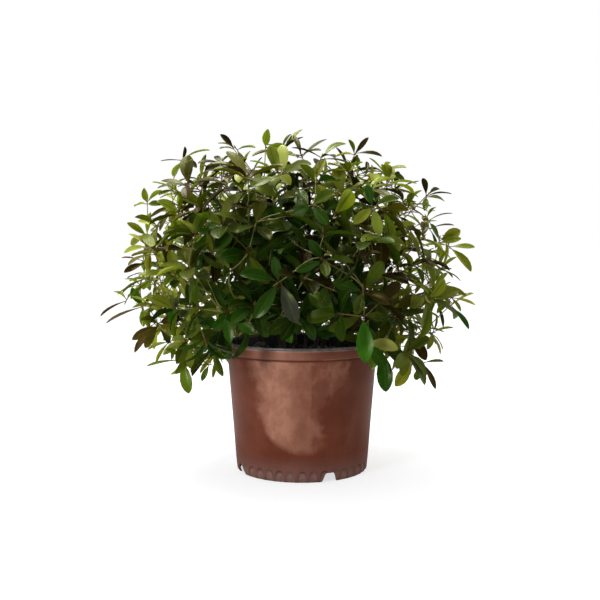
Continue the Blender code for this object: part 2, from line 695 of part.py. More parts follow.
def prism(outline, near, far, turn):
    """A prism that runs outwards from the pot's axis: an outline of (along the wall, up) points between two
    distances from the axis, turned to face one way."""
    out = np.array([math.cos(turn), math.sin(turn), 0])
    along = np.array([-math.sin(turn), math.cos(turn), 0])
    points = [out * r + along * x + UP * z for r in (near, far) for x, z in outline]
    count = len(outline)
    faces = [tuple(range(count))[::-1], tuple(range(count, 2 * count))]
    faces += [(i, (i + 1) % count, count + (i + 1) % count, count + i) for i in range(count)]
    return points, faces


def build_pot(plastic):
    """The pot, with its arches cut through the foot ring and a drain slot through the floor behind each."""
    shape = turned_shape(pot_profile(), 2 * SCALLOPS)
    pot = new_object("pot", [], [])
    shape.to_mesh(pot.data)
    shape.free()
    pot.location = POT_AXIS
    cutters = temporary_collection("cutters")
    arch = ARCH_HALF + [(-x, z) for x, z in reversed(ARCH_HALF)]
    slot = [(x, z) for x, z in ((1, 0), (1, 1), (-1, 1), (-1, 0))]
    slot = [(x * SLOT_HALF_WIDTH, 0.010 + z * 0.020) for x, z in slot]
    for k in range(ARCHES):
        turn = ARCH_PHASE + math.tau * k / ARCHES
        new_object("arch cutter", *prism(arch, *ARCH_REACH, turn), cutters)
        new_object("slot cutter", *prism(slot, *SLOT_REACH, turn), cutters)
    combine(pot, cutters, "DIFFERENCE")
    pot.data.materials.append(plastic)
    pot.data.shade_smooth()
    pot.data.set_sharp_from_angle(angle=math.radians(35))


def build_mix(bark):
    """The potting mix: it fills the pot up to MIX_TOP with a lumpy surface, with a hole for each stem."""
    rng = np.random.default_rng(5)
    bottom = FLOOR_UNDERSIDE + FLOOR_THICKNESS + GAP
    rings = [(z, wall_radius(z) - WALL - GAP, 0.0) for z in (bottom, MIX_TOP)]
    rings += [(MIX_TOP, wall_radius(MIX_TOP) * share, MIX_LUMP) for share in MIX_RINGS]
    points = []
    for z, radius, lump in rings:
        for k in range(MIX_SIDES):
            turn = math.tau * k / MIX_SIDES
            points.append((radius * math.cos(turn), radius * math.sin(turn), z + lump * rng.uniform(-1, 1)))
    points.append((0, 0, MIX_TOP))
    last = len(points) - 1
    faces = [tuple(range(MIX_SIDES))[::-1]]
    for row in range(len(rings) - 1):
        for k in range(MIX_SIDES):
            a, b = row * MIX_SIDES + k, row * MIX_SIDES + (k + 1) % MIX_SIDES
            faces += [(a, b, b + MIX_SIDES), (a, b + MIX_SIDES, a + MIX_SIDES)]
    inner = last - MIX_SIDES
    faces += [(inner + k, inner + (k + 1) % MIX_SIDES, last) for k in range(MIX_SIDES)]
    mix = new_object("potting_mix", points, faces)
    holes = temporary_collection("holes")
    for x, y in STEM_FEET:
        foot = np.array([x, y, 0]) * MM
        line = np.array([foot + UP * (MIX_TOP - STEM_DEPTH), foot + UP * (MIX_TOP + 0.02)])
        radius = STEM_FOOT_RADIUS + GAP / math.cos(math.pi / STEM_SIDES)
        new_object("hole cutter", *tube(line, [radius, radius], STEM_SIDES), holes)
    combine(mix, holes, "DIFFERENCE")
    mix.data.materials.append(bark)


def build_stems(tree, foliage, green):
    """Each stem with its twigs and leaves, fused in one body."""
    for k in range(len(STEM_FEET)):
        stem = new_object(f"leafy_stem_{k + 1}", *stem_mesh(tree, k))
        pieces = temporary_collection("pieces")
        for i, head in foliage.heads.items():
            if tree.stem[i] == k:
                leaves = [leaf for leaf in foliage.leaves if leaf.site == i]
                new_object("shoot", *shoot_mesh(head, leaves), pieces)
        combine(stem, pieces, "UNION", "MANIFOLD")
        keep_largest_body(stem)
        stem.data.materials.append(green)


def main():
    clear_scene()
    build_pot(material("red_brown_plastic", (0.147, 0.045, 0.026), 0.38))
    build_mix(material("bark_mix", (0.028, 0.018, 0.012), 0.95))
    tree, foliage = grow_shrub()
    build_stems(tree, foliage, material("leaf_green", (0.080, 0.120, 0.020), 0.42))


if __name__ == "__main__":
    main()
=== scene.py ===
"""The looks of a cleyera shrub in its nursery pot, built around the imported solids.

Metres, +Z up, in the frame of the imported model. Sizes are measured from the pot's axis and from the floor,
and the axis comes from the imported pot. The shrub grows by the same rule, values and seeds as the packed
stems, so each leaf of theirs has a fine one here in its place, and further shoots then fill the crown.
"""

import json
import math
from collections import namedtuple
from functools import reduce

import bpy
import numpy as np
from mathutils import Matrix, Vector
from mathutils.bvhtree import BVHTree

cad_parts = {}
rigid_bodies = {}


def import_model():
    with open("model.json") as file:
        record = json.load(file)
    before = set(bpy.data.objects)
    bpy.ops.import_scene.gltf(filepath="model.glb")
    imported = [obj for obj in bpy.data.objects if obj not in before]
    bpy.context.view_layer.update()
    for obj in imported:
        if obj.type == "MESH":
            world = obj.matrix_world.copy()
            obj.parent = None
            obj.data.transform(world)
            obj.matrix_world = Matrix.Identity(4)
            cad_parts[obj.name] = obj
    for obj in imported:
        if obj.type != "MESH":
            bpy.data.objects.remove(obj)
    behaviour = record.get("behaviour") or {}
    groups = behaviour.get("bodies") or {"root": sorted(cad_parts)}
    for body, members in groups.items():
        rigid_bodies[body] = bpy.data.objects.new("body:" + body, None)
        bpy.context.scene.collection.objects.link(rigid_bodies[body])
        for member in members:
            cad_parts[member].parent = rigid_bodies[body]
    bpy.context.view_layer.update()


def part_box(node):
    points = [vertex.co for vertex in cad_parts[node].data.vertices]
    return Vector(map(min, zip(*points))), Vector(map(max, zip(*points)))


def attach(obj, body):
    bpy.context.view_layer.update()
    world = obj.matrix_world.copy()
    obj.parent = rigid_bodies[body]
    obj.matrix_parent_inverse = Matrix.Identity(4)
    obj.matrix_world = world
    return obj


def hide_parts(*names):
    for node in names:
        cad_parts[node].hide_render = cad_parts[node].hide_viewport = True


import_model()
POT_LOW, POT_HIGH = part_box("pot")
POT_AXIS = np.array([(POT_LOW.x + POT_HIGH.x) / 2, (POT_LOW.y + POT_HIGH.y) / 2, 0.0])

MM = 0.001
UP = np.array([0.0, 0.0, 1.0])
TO_VIEWER = np.array([0.0, -1.0, 0.0])

# The pot: a tapered wall with an upright band at the rim, and a foot ring with scallops and drain arches
POT_HEIGHT = 0.240
WALL = 0.002
FOOT_RADIUS = 0.1216
WALL_TAPER = 0.079
BAND_RADIUS = 0.1402
FLOOR_UNDERSIDE = 0.0185
FLOOR_THICKNESS = 0.0025
SCALLOPS = 38
SCALLOP_DEPTH = 0.0013
SCALLOP_TOP = 0.022
SCALLOP_BREADTH = 0.90
SCALLOP_POWER = 2.6
SCALLOP_EASE = 0.55
FOOT_ROUND = 0.0041
ARCHES = 4
ARCH_PHASE = math.radians(-66)
# Half of an arch's outline, along the wall and up, and how far from the axis arches and slots reach
ARCH_HALF = [(0.0155, -0.001), (0.0128, 0.0045), (0.0110, 0.0095), (0.0099, 0.0122), (0.0087, 0.0142),
             (0.0073, 0.0157), (0.0056, 0.0166)]
ARCH_REACH = (0.112, 0.132)
SLOT_HALF_WIDTH = 0.014
SLOT_HEIGHTS = (0.010, 0.030)
SLOT_REACH = (0.094, 0.106)
POT_SIDES = 8 * SCALLOPS
POT_CREASE_DEG = 50

# The potting mix, and its lumps: their number, how far from the axis, how high and how wide
GAP = 0.0003
MIX_TOP = 0.212
MIX_LUMP = 0.0022
MIX_SIDES = 120
MIX_RINGS = 26
LUMPS = 900
LUMP_REACH = 0.14
LUMP_RISE = 0.0016
LUMP_RADII = (0.003, 0.009)
LUMP_SEED = 51

# The bark chips on it: their lengths, their breadths as a share of those, half their depths, the spread of
# their tilt and roll, how light they are, how far their edge is drawn in, the sides of their outline, their
# least distance from the wall and how high they lie on the lumps
CHIPS = 420
CHIP_LENGTHS = (0.006, 0.022)
CHIP_BREADTHS = (0.35, 0.75)
CHIP_DEPTHS = (0.0007, 0.0022)
CHIP_TILT = 0.25
CHIP_ROLL = 0.3
CHIP_SHADES = (0.25, 1.0)
CHIP_JAG = (0.72, 1.1)
CHIP_SIDES = 6
CHIP_TO_WALL = 0.014
CHIP_LIFT = 0.35
CHIP_CREASE_DEG = 30
CHIP_SEED = 52
# A pale flake that shows inside the rim: its place, its heading, half its length, breadth and depth, how far
# it is raised and leans along its length, and its shade, which is beyond that of any other chip
PALE_FLAKE_PLACE = (-0.0850, 0.0965)
PALE_FLAKE_HEADING = math.radians(41)
PALE_FLAKE_SIZE = (0.017, 0.0070, 0.0008)
PALE_FLAKE_RAISED = 0.0065
PALE_FLAKE_TILT = 0.03
PALE_FLAKE_SHADE = 4.0

# The stems and twigs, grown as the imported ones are
STEM_FEET = [(7, -24), (37, -30), (-32, 2), (-12, 38), (26, 30), (-38, -36)]
STEM_DEPTH = 0.045
STEM_STRAIGHT = 0.006
STEM_FORK_HEIGHT = 0.285
STEM_FORK_STEP = 0.006
STEM_SPREAD = 1.75
STEM_RISE = 0.050
STEM_FOOT_RADIUS = 0.0042
STEM_FORK_RADIUS = 0.0034
STEM_FORKS = 4
TWIG_FORKS = 3
TURN_COST = 0.75
WAY_COST = 0.30
TWIG_CLEARANCE = 0.008
POT_CLEARANCE = 0.006
TWIG_LIFT_HIGH = 0.30
TWIG_LIFT_LOW = -0.05
TWIG_FLARE = 0.35
# The shares of its own chord and of the way its root points in how a twig sets off
ALONG_CHORD = 0.65
ALONG_ROOT = 0.45
TWIG_STEPS = 2
TIP_RADIUS = 0.0015
PIPE_POWER = 0.4
FORK_SWELL = 1.12
# How finely a twig is sampled in the tests, and a direction that no twig runs along, where its rings begin
GAP_SAMPLES = 9
POT_SAMPLES = 6
ACROSS = np.array([0.31, 0.95, 0.02])

# The crown: how far its outermost shoots stand from its middle at each elevation, and how low it hangs
CROWN_MIDDLE = np.array([-0.020, 0.0, 0.330])
CROWN_ELEVATIONS_DEG = [-40, -30, -20, 0, 40, 60, 90]
CROWN_REACH = [0.215, 0.245, 0.262, 0.296, 0.298, 0.286, 0.256]
CROWN_SHALLOWER = 0.10
HEM_FRONT_DEG = -6
HEM_SIDE_DEG = -38
SHOOT_CLEARANCE = 0.030
REACH_JITTER = 0.05
SITE_JITTER = 0.010
# Each shell of shoots: its share of the reach, how many sites are tried and the least distance between
# shoots, then how many leaves a shoot has and how many degrees they stand away from it
SHELLS = [
    (1.00, 190, 0.082, 6, (50, 82)),
    (0.70, 90, 0.088, 5, (45, 75)),
    (0.42, 40, 0.085, 4, (45, 75)),
]
SHELL_SEED = 11
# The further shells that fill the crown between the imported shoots, airy outside and dense inside, each with
# the shares of the usual leaf length and how far its leaves turn to the sky. At the front, leaves are larger
# and turn less
FILL_SHELLS = [
    (0.93, 860, 0.041, 6, (48, 88), (0.52, 0.92), 1.7),
    (0.81, 700, 0.039, 6, (45, 85), (0.56, 0.98), 1.4),
    (0.68, 460, 0.041, 5, (45, 85), (0.75, 1.15), 0.9),
    (0.54, 320, 0.040, 5, (45, 85), (0.85, 1.25), 0.5),
    (0.40, 180, 0.040, 5, (45, 85), (0.85, 1.25), 0.5),
    (0.25, 90, 0.040, 5, (45, 85), (0.80, 1.15), 0.5),
]
FILL_SEED = 21
FILL_HEIGHTS = (0.215, 0.550)
# The low shoots over the mix and behind the rim: the box that they are drawn in, how many are tried, how far
# apart they stand, and their leaves
LOW_BOX = [(-0.18, 0.18), (-0.04, 0.27), (0.222, 0.292)]
LOW_TRIED = 1200
LOW_SEED = 27
LOW_SPACING = 0.030
LOW_LEAVES = (5, (45, 88), (0.80, 1.15), 0.3)
FRONT_LARGER = 0.30
FRONT_LIFT = 0.35
RIM_SIGHT = (0.110, 0.262)
FILL_DROP_DEG = 48
FILL_FORKS = 3
FILL_PARENTS = 5
FILL_CLEARANCE = 0.003
FILL_TIP = 0.0011
FILL_ROOT = 0.0014

# The leaves, the bands of a shoot that they grow from, and how each may turn from its first place until it
# fits: the share of its depth and its tilt for a listed one, its turn round the shoot and towards it for one
# of a whorl
LEAF_BAND = 0.0030
HAND_TRIES = [(1, 0), (1, 0.5), (0.7, 0), (-1, 0), (0.7, -0.5), (-0.7, 0.4), (0.3, 0.2), (-0.3, -0.3)]
WHORL_TRIES = [(0, 0), (0.35, 0), (-0.35, 0), (0.2, -0.25), (-0.2, 0.25), (0.6, -0.1), (-0.6, 0.1)]
LEAF_LENGTH = 0.056
WHORL_SIZES = (0.80, 1.22)
WHORL_LIFT = 0.9
LEAF_WIDTH_SHARE = 0.40
LEAF_THICKNESS = 0.0018
LEAF_ROWS = [(0.42, 0.92), (0.75, 0.88)]
LEAF_NEIGHBOURS = 0.095
LEAF_HALF_SIZE = 0.62
TWIG_ROOM = 0.01
ROOT_TRIM = 0.05
# A listed leaf: its least slant out of the picture, the shares of its length as seen and of the usual length
# in its own, and the ranges of that length, of its breadth and of its arch
LEAST_SLANT = 1.03
SEEN_SHARE, USUAL_SHARE = 0.45, 0.55
HAND_LENGTHS = (0.85, 1.15)
HAND_WIDTHS = (0.9, 1.12)
HAND_ARCHES = (0.03, 0.08)
HAND_TILT = np.array([0.6, 0.3, 0.2])
HAND_SEED = 31
# A leaf of a whorl: how far its turn strays, and the ranges of its breadth, its arch and its droop
WHORL_STRAY = 0.3
WHORL_WIDTHS = (0.88, 1.15)
WHORL_ARCHES = (0.03, 0.10)
WHORL_DROOPS = (0.05, 0.30)
WHORL_SEED = 41
# Where a leaf lies nearly along its normal, the normal is first moved aside by this much
NEARLY_ALONG = 0.97
MOVED_ASIDE = np.array([0.4, -0.5, 0.3])

# The fine leaf: its petiole's share of the length, where its rows stand along the blade, and the ring of six
# points round each row, two edges, three on the upper face and one on the rib below: their shares across and
# up, the same on the round petiole, and how far each belongs to the upper face
PETIOLE_SHARE = 0.09
BLADE_ROWS = np.array([0.13, 0.33, 0.55, 0.74, 0.88, 0.965])
RING_ACROSS = np.array([-1.0, -0.5, 0.0, 0.5, 1.0, 0.0])
RING_UP = np.array([0.0, 0.50, 0.10, 0.50, 0.0, -1.0])
PETIOLE_ACROSS = np.array([-1.0, -0.7, 0.0, 0.7, 1.0, 0.0])
PETIOLE_UP = np.array([0.0, 0.7, 1.0, 0.7, 0.0, -1.0])
RING_UPPER = np.array([0.5, 1.0, 1.0, 1.0, 0.5, 0.0])
PETIOLE_RADIUS = 0.0008
BLADE_THICKNESS = 0.0006
BLADE_TIP = 0.70
FOLD_DEG = (10, 30)
FOLD_ROUND = 0.25
LEAF_CREASE_DEG = 62
# How much narrower a leaf is away from the front of the crown, listed or in a whorl, and at the front, where
# it is listed. A listed leaf that looks at the viewer keeps its breadth away from the front
HAND_SLENDER = 0.33
WHORL_SLENDER = 0.47
FRONT_SLENDER = 0.15
LOOKS_AT_VIEWER = 0.88
FULLY_FRONT = 0.8
TWIST_DEG = 14
FOLD_SEED = 61

# The fine twigs: sides and steps of the tube along each, and the bud at its end
TWIG_SIDES = 5
TWIG_CURVE_STEPS = 7
TWIG_SLENDER = 0.64
TWIG_THINNING = 0.5
BUD_LENGTH = 0.0065
# The shares of a bud's length and of its twig's radius at its rings
BUD_FORM = [(0.0, 1.0), (0.25, 1.2), (0.65, 0.75)]
# A twig's age from its root to its tip, on top of what its radius adds, and the radius that adds 1
TWIG_AGES = (0.30, 0.12)
FULL_AGE_RADIUS = 0.0055
STEM_SIDES = 12
STEM_STEPS = 22
# The swellings on a stem: waves of its length, raised to a power that makes them narrow
SWELLING = 0.07
SWELLING_WAVES = 31
SWELLING_POWER = 6

# Leaf colours, as linear light
TONES = {
    "bronze": (0.044, 0.018, 0.006),
    "olive": (0.270, 0.296, 0.032),
    "mid": (0.088, 0.128, 0.009),
    "deep": (0.023, 0.089, 0.0035),
    # The bright tone is a deep green painted as if in full light, and the grey tone after it is a painted
    # sheen
    "bright": (0.054, 0.225, 0.008),
    "silver": (0.082, 0.092, 0.070),
    "pale": (0.415, 0.445, 0.112),
}
# The share of outer leaves that are young and pale, a paleness that is partly painted light through them,
# then how much painted shade darkens the crown at its front and how much painted light lightens it low at its
# left and at its right
YOUNG_SHARE = 0.22
PAINTED_FRONT_SHADE = 0.34
PAINTED_SIDE_LIGHT = (1.64, 0.62)
LIGHT_THROUGH_LEAF = 0.42
# How light a leaf is, from deep green at 0 through mid green to olive at 1: what its place adds, which is
# painted light and shade that lightens outer, high and side leaves and darkens low front ones, then the mean
# and the spread of its own part, and the part of its shoot
CROWN_FOOT, CROWN_RISE = 0.24, 0.36
LIGHT_OUTER, OUTER_FROM = 1.4, 0.66
LIGHT_HIGH = 0.45
LIGHT_ASIDE, LIGHT_LOW_ASIDE = 0.62, 0.35
PAINTED_LOW_FRONT_SHADE = 0.95
LIGHT_OWN = (-0.12, 0.18)
LIGHT_SHOOT = 0.30
MID_GREEN = 0.4
# The share of new shoots inside, and outside at the foot with what height adds; the share of their leaves
# that are bronze; how bronze those are, and the square root of how bronze the others are at most
NEW_INSIDE = 0.22
NEW_OUTSIDE, NEW_HIGHER = 0.18, 0.34
OUTSIDE_FROM = 0.80
BRONZE_SHARE = 0.75
BRONZE_NEW = (0.6, 1.0)
BRONZE_OLD = 0.50
# The brightness of whorl leaves, of listed leaves and of pale ones, and how each colour strays
WHORL_BRIGHTNESS = (0.42, 1.36)
HAND_BRIGHTNESS = (0.88, 1.12)
PALE_BRIGHTNESS = (0.70, 1.15)
COLOUR_STRAY = (0.93, 1.07)
SHOOT_TONE_SEED, LEAF_TONE_SEED = 71, 72
TONE_LETTERS = {"d": "bronze", "l": "olive", "m": "mid", "g": "deep", "b": "bright", "s": "silver"}

# Each listed shoot: its place in mm from the pot's axis and above the floor (right, away from the viewer,
# up), a letter for the colour of each leaf, then its leaves, each with its reach to the right and up in mm
# and a face number: 0 for a blade that looks up, 1 for one that looks at the viewer
SHOOTS = [
    ((-215, -20, 577), "ddlldd",
     [(5, 16, 0.6), (-39, -9, 0.1), (-24, -33, 0.8), (50, 10, 0.2), (27, -22, 0.9), (-20, -60, 0.3)]),
    ((-125, 40, 600), "dllm", [(-29, 25, 0.7), (39, -3, 0.2), (-31, 5, 0.1), (12, -24, 0.8)]),
    ((-65, -60, 594), "lmld", [(6, 25, 0.8), (-14, 21, 0.1), (39, -5, 0.9), (35, -33, 1.0)]),
    ((-140, -90, 564), "ddddm",
     [(-27, -19, 0.8), (-40, -6, 0.3), (55, -26, 0.3), (-15, 12, 0.5), (24, 9, 0.4)]),
    ((-290, 20, 499), "lldml", [(1, 23, 1.0), (-29, -9, 0.4), (-26, -38, 0.5), (31, -9, 0.7), (34, 18, 0.1)]),
    ((-233, -50, 521), "lmml", [(-30, 7, 0.2), (-20, -16, 0.4), (22, -30, 0.8), (30, 14, 0.3)]),
    ((-282, -30, 441), "llml", [(-30, 16, 0.7), (-36, -23, 0.8), (-5, -26, 0.3), (11, 35, 0.6)]),
    ((-303, 30, 362), "ldmm", [(-56, -5, 0.1), (-33, -9, 0.2), (14, 28, 0.4), (20, -30, 0.7)]),
    ((-284, -60, 391), "ddmm", [(-30, -22, 0.7), (-34, 4, 0.2), (18, 34, 0.6), (34, -14, 0.5)]),
    ((-328, 0, 312), "dlml", [(-51, -29, 0.1), (-6, -51, 0.4), (28, 16, 0.3), (-18, 20, 0.2)]),
    ((-290, -50, 306), "dmgl", [(-62, -29, 0.1), (8, -34, 0.7), (-14, 36, 0.8), (36, -8, 0.3)]),
    ((-273, 20, 262), "dlm", [(-41, -47, 0.4), (-4, -40, 0.6), (30, -20, 0.4)]),
    ((-221, -60, 207), "mmlm", [(-57, -6, 0.1), (18, -56, 1.0), (34, 10, 0.7), (-22, 26, 0.5)]),
    ((-174, 10, 192), "mml", [(33, -27, 0.2), (-11, -26, 0.5), (-36, 12, 0.4)]),
    ((99, -20, 588), "dmdlm", [(20, 21, 0.7), (-15, 18, 0.1), (46, -11, 0.4), (-35, -7, 0.3), (4, -25, 0.9)]),
    ((153, 30, 557), "llmm", [(40, 3, 0.4), (15, 18, 0.4), (37, -20, 0.6), (-20, -22, 0.8)]),
    ((233, 0, 511), "dddlm", [(27, 11, 0.5), (40, -1, 0.3), (-14, 27, 0.2), (36, -12, 0.5), (-10, -32, 0.8)]),
    ((278, 20, 412), "lldl", [(44, 1, 0.5), (37, -45, 0.5), (-20, 24, 0.3), (-14, -30, 0.6)]),
    ((251, -30, 429), "lllm", [(35, 0, 0.8), (36, 15, 0.9), (4, -34, 0.7), (-22, 26, 0.6)]),
    ((246, 60, 448), "ddm", [(-9, 25, 0.8), (42, 6, 0.2), (14, -38, 0.3)]),
    ((280, 0, 307), "gmlm", [(29, -46, 0.3), (-9, -52, 0.5), (34, 22, 0.3), (12, -30, 0.8)]),
    ((225, -60, 347), "llmm", [(54, -11, 0.4), (30, -34, 0.7), (-24, 30, 0.6), (6, -44, 0.5)]),
    ((206, -20, 252), "ddml", [(70, -19, 0.2), (22, -46, 0.8), (-17, -52, 0.8), (-46, -20, 0.9)]),
    ((139, -80, 229), "lm", [(10, -76, 0.8), (-20, 20, 0.5)]),
    ((206, 0, 196), "lm", [(-33, -41, 0.9), (24, -18, 0.6)]),
    ((233, 40, 192), "dmm", [(20, -48, 0.2), (-12, -38, 0.7), (34, 6, 0.3)]),
    ((100, -215, 302), "bmmg", [(2, -74, 0.9), (-58, -22, 0.9), (36, -6, 0.7), (-20, 40, 0.8)]),
    ((-41, -255, 357), "gggsm",
     [(-3, 44, 1.0), (-58, 16, 0.6), (-34, -54, 0.9), (32, -62, 0.9), (50, 20, 0.5)]),
    ((-230, -120, 322), "mmgl", [(-24, 22, 0.5), (44, -6, 0.6), (8, -46, 0.9), (-46, -14, 0.2)]),
    ((-129, -202, 308), "mgggm",
     [(-40, -8, 0.7), (12, -50, 0.9), (46, -36, 0.9), (-22, 38, 0.6), (38, 26, 0.5)]),
    ((27, -264, 399), "ggmm", [(-18, 28, 1.0), (-36, -22, 0.9), (56, -10, 0.4), (10, -30, 0.8)]),
    ((97, -240, 350), "mgmd", [(34, 42, 0.9), (-50, 10, 0.8), (-14, -42, 0.9), (44, -26, 0.6)]),
    ((16, -224, 482), "mggm", [(34, 20, 0.7), (-30, -14, 0.8), (26, -34, 0.8), (-22, 26, 0.5)]),
    ((115, -214, 480), "lmlg", [(-34, -28, 0.9), (40, 12, 0.5), (8, -48, 0.9), (-14, 34, 0.7)]),
]

# Further listed shoots, in the same form
FURTHER_SHOOTS = [
    ((-36, -190, 303), "bgm", [(18, -46, 1.0), (-24, 18, 0.8), (26, 12, 0.5)]),
    ((-118, -180, 303), "ggm", [(39, -31, 0.9), (-30, -26, 0.8), (-10, 34, 0.6)]),
    ((-88, -205, 292), "gm", [(-36, 8, 0.7), (24, 22, 0.8)]),
    ((140, -104, 236), "gm", [(6, -74, 0.8), (20, 14, 0.4)]),
    ((-128, 22, 597), "dl", [(-22, 22, 0.7), (-28, 2, 0.2)]),
]

# The studio: the colour and brightness of its room, its lights with their sizes and powers, and the camera
WARM_WHITE = (1.0, 0.965, 0.87)
ROOM_FRONT = 0.11
ROOM_BEHIND = 0.55
ROOM_ABOVE = 0.70
ROOM_LEFT = 0.26
ROOM_RIGHT = 0.49
LIT_POINT = (0.0285, 0.0, 0.30)
LIGHTS = [
    ("front_left", (-1.00, -1.45, 0.75), (0.42, 0.42), 12),
    ("above", (-0.35, 0.25, 2.20), (1.2, 1.0), 64),
]
FLOOR_SIZE = 60
CAMERA_PLACE = (0.0248, -1.7225, 0.426)
CAMERA_DOWN_DEG = 3.7
CAMERA_LENS = 55.5

Leaf = namedtuple("Leaf", "site seat tip normal width arch tone")
Twig = namedtuple("Twig", "stem start end lead_out lead_in")


def unit(v):
    return v / np.linalg.norm(v)


def lengths(vectors):
    return np.linalg.norm(vectors, axis=-1, keepdims=True)


def units(vectors):
    return vectors / lengths(vectors)


def elevation_deg(direction):
    return math.degrees(math.asin(max(-1.0, min(1.0, direction[2]))))


def crown_reach(direction):
    """Distance from the crown's middle to its outermost shoots, by elevation, a little less front to back."""
    reach = np.interp(elevation_deg(direction), CROWN_ELEVATIONS_DEG, CROWN_REACH)
    return reach * (1 - CROWN_SHALLOWER * direction[1] ** 2)


def hem_deg(direction):
    """The lowest elevation that still has shoots: high over the pot's front, low at its sides and back."""
    frontness = max(0.0, float(unit(direction * [1, 1, 0]) @ TO_VIEWER))
    return HEM_SIDE_DEG + (HEM_FRONT_DEG - HEM_SIDE_DEG) * frontness**1.5


def inside_pot(point, margin):
    """Whether a point, measured from the pot's axis, lies in the pot or the space over its mix."""
    return point[2] < POT_HEIGHT + margin and math.hypot(point[0], point[1]) < BAND_RADIUS + margin


def shell_points(count, shell, seed, drop=0.0):
    """Points over one shell of the crown: a golden-angle spiral on a sphere, with a little jitter. They reach
    down to the hem, or the drop in degrees below it."""
    rng = np.random.default_rng(seed)
    turn = math.pi * (3 - math.sqrt(5))
    for i in range(count):
        up = 1 - 2 * (i + 0.5) / count
        ring = math.sqrt(1 - up * up)
        direction = np.array([ring * math.cos(i * turn), ring * math.sin(i * turn), up])
        jitter = rng.uniform(-1, 1, 3)
        if elevation_deg(direction) >= hem_deg(direction) - drop:
            reach = crown_reach(direction) * shell * (1 + REACH_JITTER * jitter[0])
            yield CROWN_MIDDLE + direction * reach + SITE_JITTER * jitter


def sites_apart(points, taken, spacing):
    """Those of the points that keep clear of the pot and that far from all that are kept or taken."""
    found, near = [], np.array(taken)
    for point in points:
        if not inside_pot(point, SHOOT_CLEARANCE) and np.linalg.norm(near - point, axis=1).min() > spacing:
            found.append(point)
            near = np.vstack([near, point])
    return found


def bezier(twig, steps):
    """Points along a twig: a cubic curve that leaves along lead_out and arrives along lead_in."""
    reach = np.linalg.norm(twig.end - twig.start) / 3
    t = np.linspace(0, 1, steps + 1)[:, None]
    first, last = twig.start + reach * twig.lead_out, twig.end - reach * twig.lead_in
    s = 1 - t
    return s**3 * twig.start + 3 * s**2 * t * first + 3 * s * t**2 * last + t**3 * twig.end


def segment_gap(a0, a1, b0, b1):
    """Smallest distance between segment a and each segment of b, by sampling a and projecting on b."""
    t = np.linspace(0, 1, GAP_SAMPLES)[:, None, None]
    p = a0 + t * (a1 - a0)
    along = b1 - b0
    share = np.clip(((p - b0) * along).sum(-1) / (along * along).sum(-1), 0, 1)
    return np.linalg.norm(p - (b0 + share[..., None] * along), axis=-1).min()


class Tree:
    """Stems that fork at the crown's base, and the twigs that join every site to one of them."""

    def __init__(self):
        self.points, self.stem, self.way, self.lead = [], [], [], []
        self.parent, self.children, self.twigs, self.lines = [], [], [], []
        for k, (x, y) in enumerate(STEM_FEET):
            foot = np.array([x, y, 0]) * MM
            fork = foot * STEM_SPREAD + UP * (STEM_FORK_HEIGHT + STEM_FORK_STEP * (k % 3))
            self.add(fork, k, 0.0, unit(foot + UP * STEM_RISE), None, None)

    def add(self, point, stem, way, lead, parent, twig):
        self.points.append(point)
        self.stem.append(stem)
        self.way.append(way)
        self.lead.append(lead)
        self.parent.append(parent)
        self.twigs.append(twig)
        self.children.append(0)
        self.lines.append(bezier(twig, TWIG_STEPS) if twig else None)

    def twig(self, p, site):
        """The twig from point p to a site: it sets off near the way p points, and ends turned outwards."""
        chord = unit(site - self.points[p])
        outward = unit(site - CROWN_MIDDLE)
        lift = TWIG_LIFT_HIGH if site[2] > CROWN_MIDDLE[2] else TWIG_LIFT_LOW
        lead_in = unit(chord + TWIG_FLARE * outward + lift * UP)
        lead_out = unit(ALONG_CHORD * chord + ALONG_ROOT * self.lead[p])
        return Twig(self.stem[p], self.points[p], site, lead_out, lead_in)

    def clear(self, twig, clearance):
        """Whether a twig keeps out of the pot, and that far away from those of the other stems."""
        if any(inside_pot(point, POT_CLEARANCE) for point in bezier(twig, POT_SAMPLES)):
            return False
        others = [line for line, t in zip(self.lines, self.twigs) if t and t.stem != twig.stem]
        if not others:
            return True
        starts = np.concatenate([o[:-1] for o in others])
        ends = np.concatenate([o[1:] for o in others])
        line = bezier(twig, TWIG_STEPS)
        gaps = [segment_gap(line[i], line[i + 1], starts, ends) for i in range(TWIG_STEPS)]
        return min(gaps) > clearance

    def join_costs(self, sites, more_forks=0):
        """The cost of joining each site on at each point: their distance, with the turn that the twig makes
        and part of the way back to the mix counted in. A point that has all its forks costs without end."""
        step = np.array(sites)[None] - np.array(self.points)[:, None]
        length = np.sqrt((step * step).sum(-1))
        turn = 1 - (step * np.array(self.lead)[:, None]).sum(-1) / length
        cost = length * (1 + TURN_COST * turn) + WAY_COST * np.array(self.way)[:, None]
        forks = [STEM_FORKS if parent is None else TWIG_FORKS for parent in self.parent]
        cost[np.array(self.children) >= np.array(forks) + more_forks] = math.inf
        return cost

    def attach(self, p, site, twig):
        """Adds a twig that ends in a new point, with one more child for the point it starts from."""
        way = self.way[p] + np.linalg.norm(site - self.points[p])
        self.add(site, self.stem[p], way, twig.lead_in, p, twig)
        self.children[p] += 1

    def grow(self, sites):
        """Joins the sites on one by one: each becomes a shoot of the stem that it costs least to join."""
        waiting, refused = list(range(len(sites))), set()
        while waiting:
            cost = self.join_costs([sites[s] for s in waiting])
            for p, s in refused:
                if s in waiting:
                    cost[p, waiting.index(s)] = math.inf
            p, column = np.unravel_index(cost.argmin(), cost.shape)
            if cost[p, column] == math.inf:
                return
            s = waiting[column]
            twig = self.twig(p, sites[s])
            if self.clear(twig, TWIG_CLEARANCE):
                self.attach(p, sites[s], twig)
                waiting.remove(s)
            else:
                refused.add((p, s))

    def tips_carried(self):
        """How many shoot tips each point carries."""
        carried = [1 if n == 0 else 0 for n in self.children]
        for i in reversed(range(len(self.points))):
            if self.parent[i] is not None:
                carried[self.parent[i]] += carried[i]
        return carried


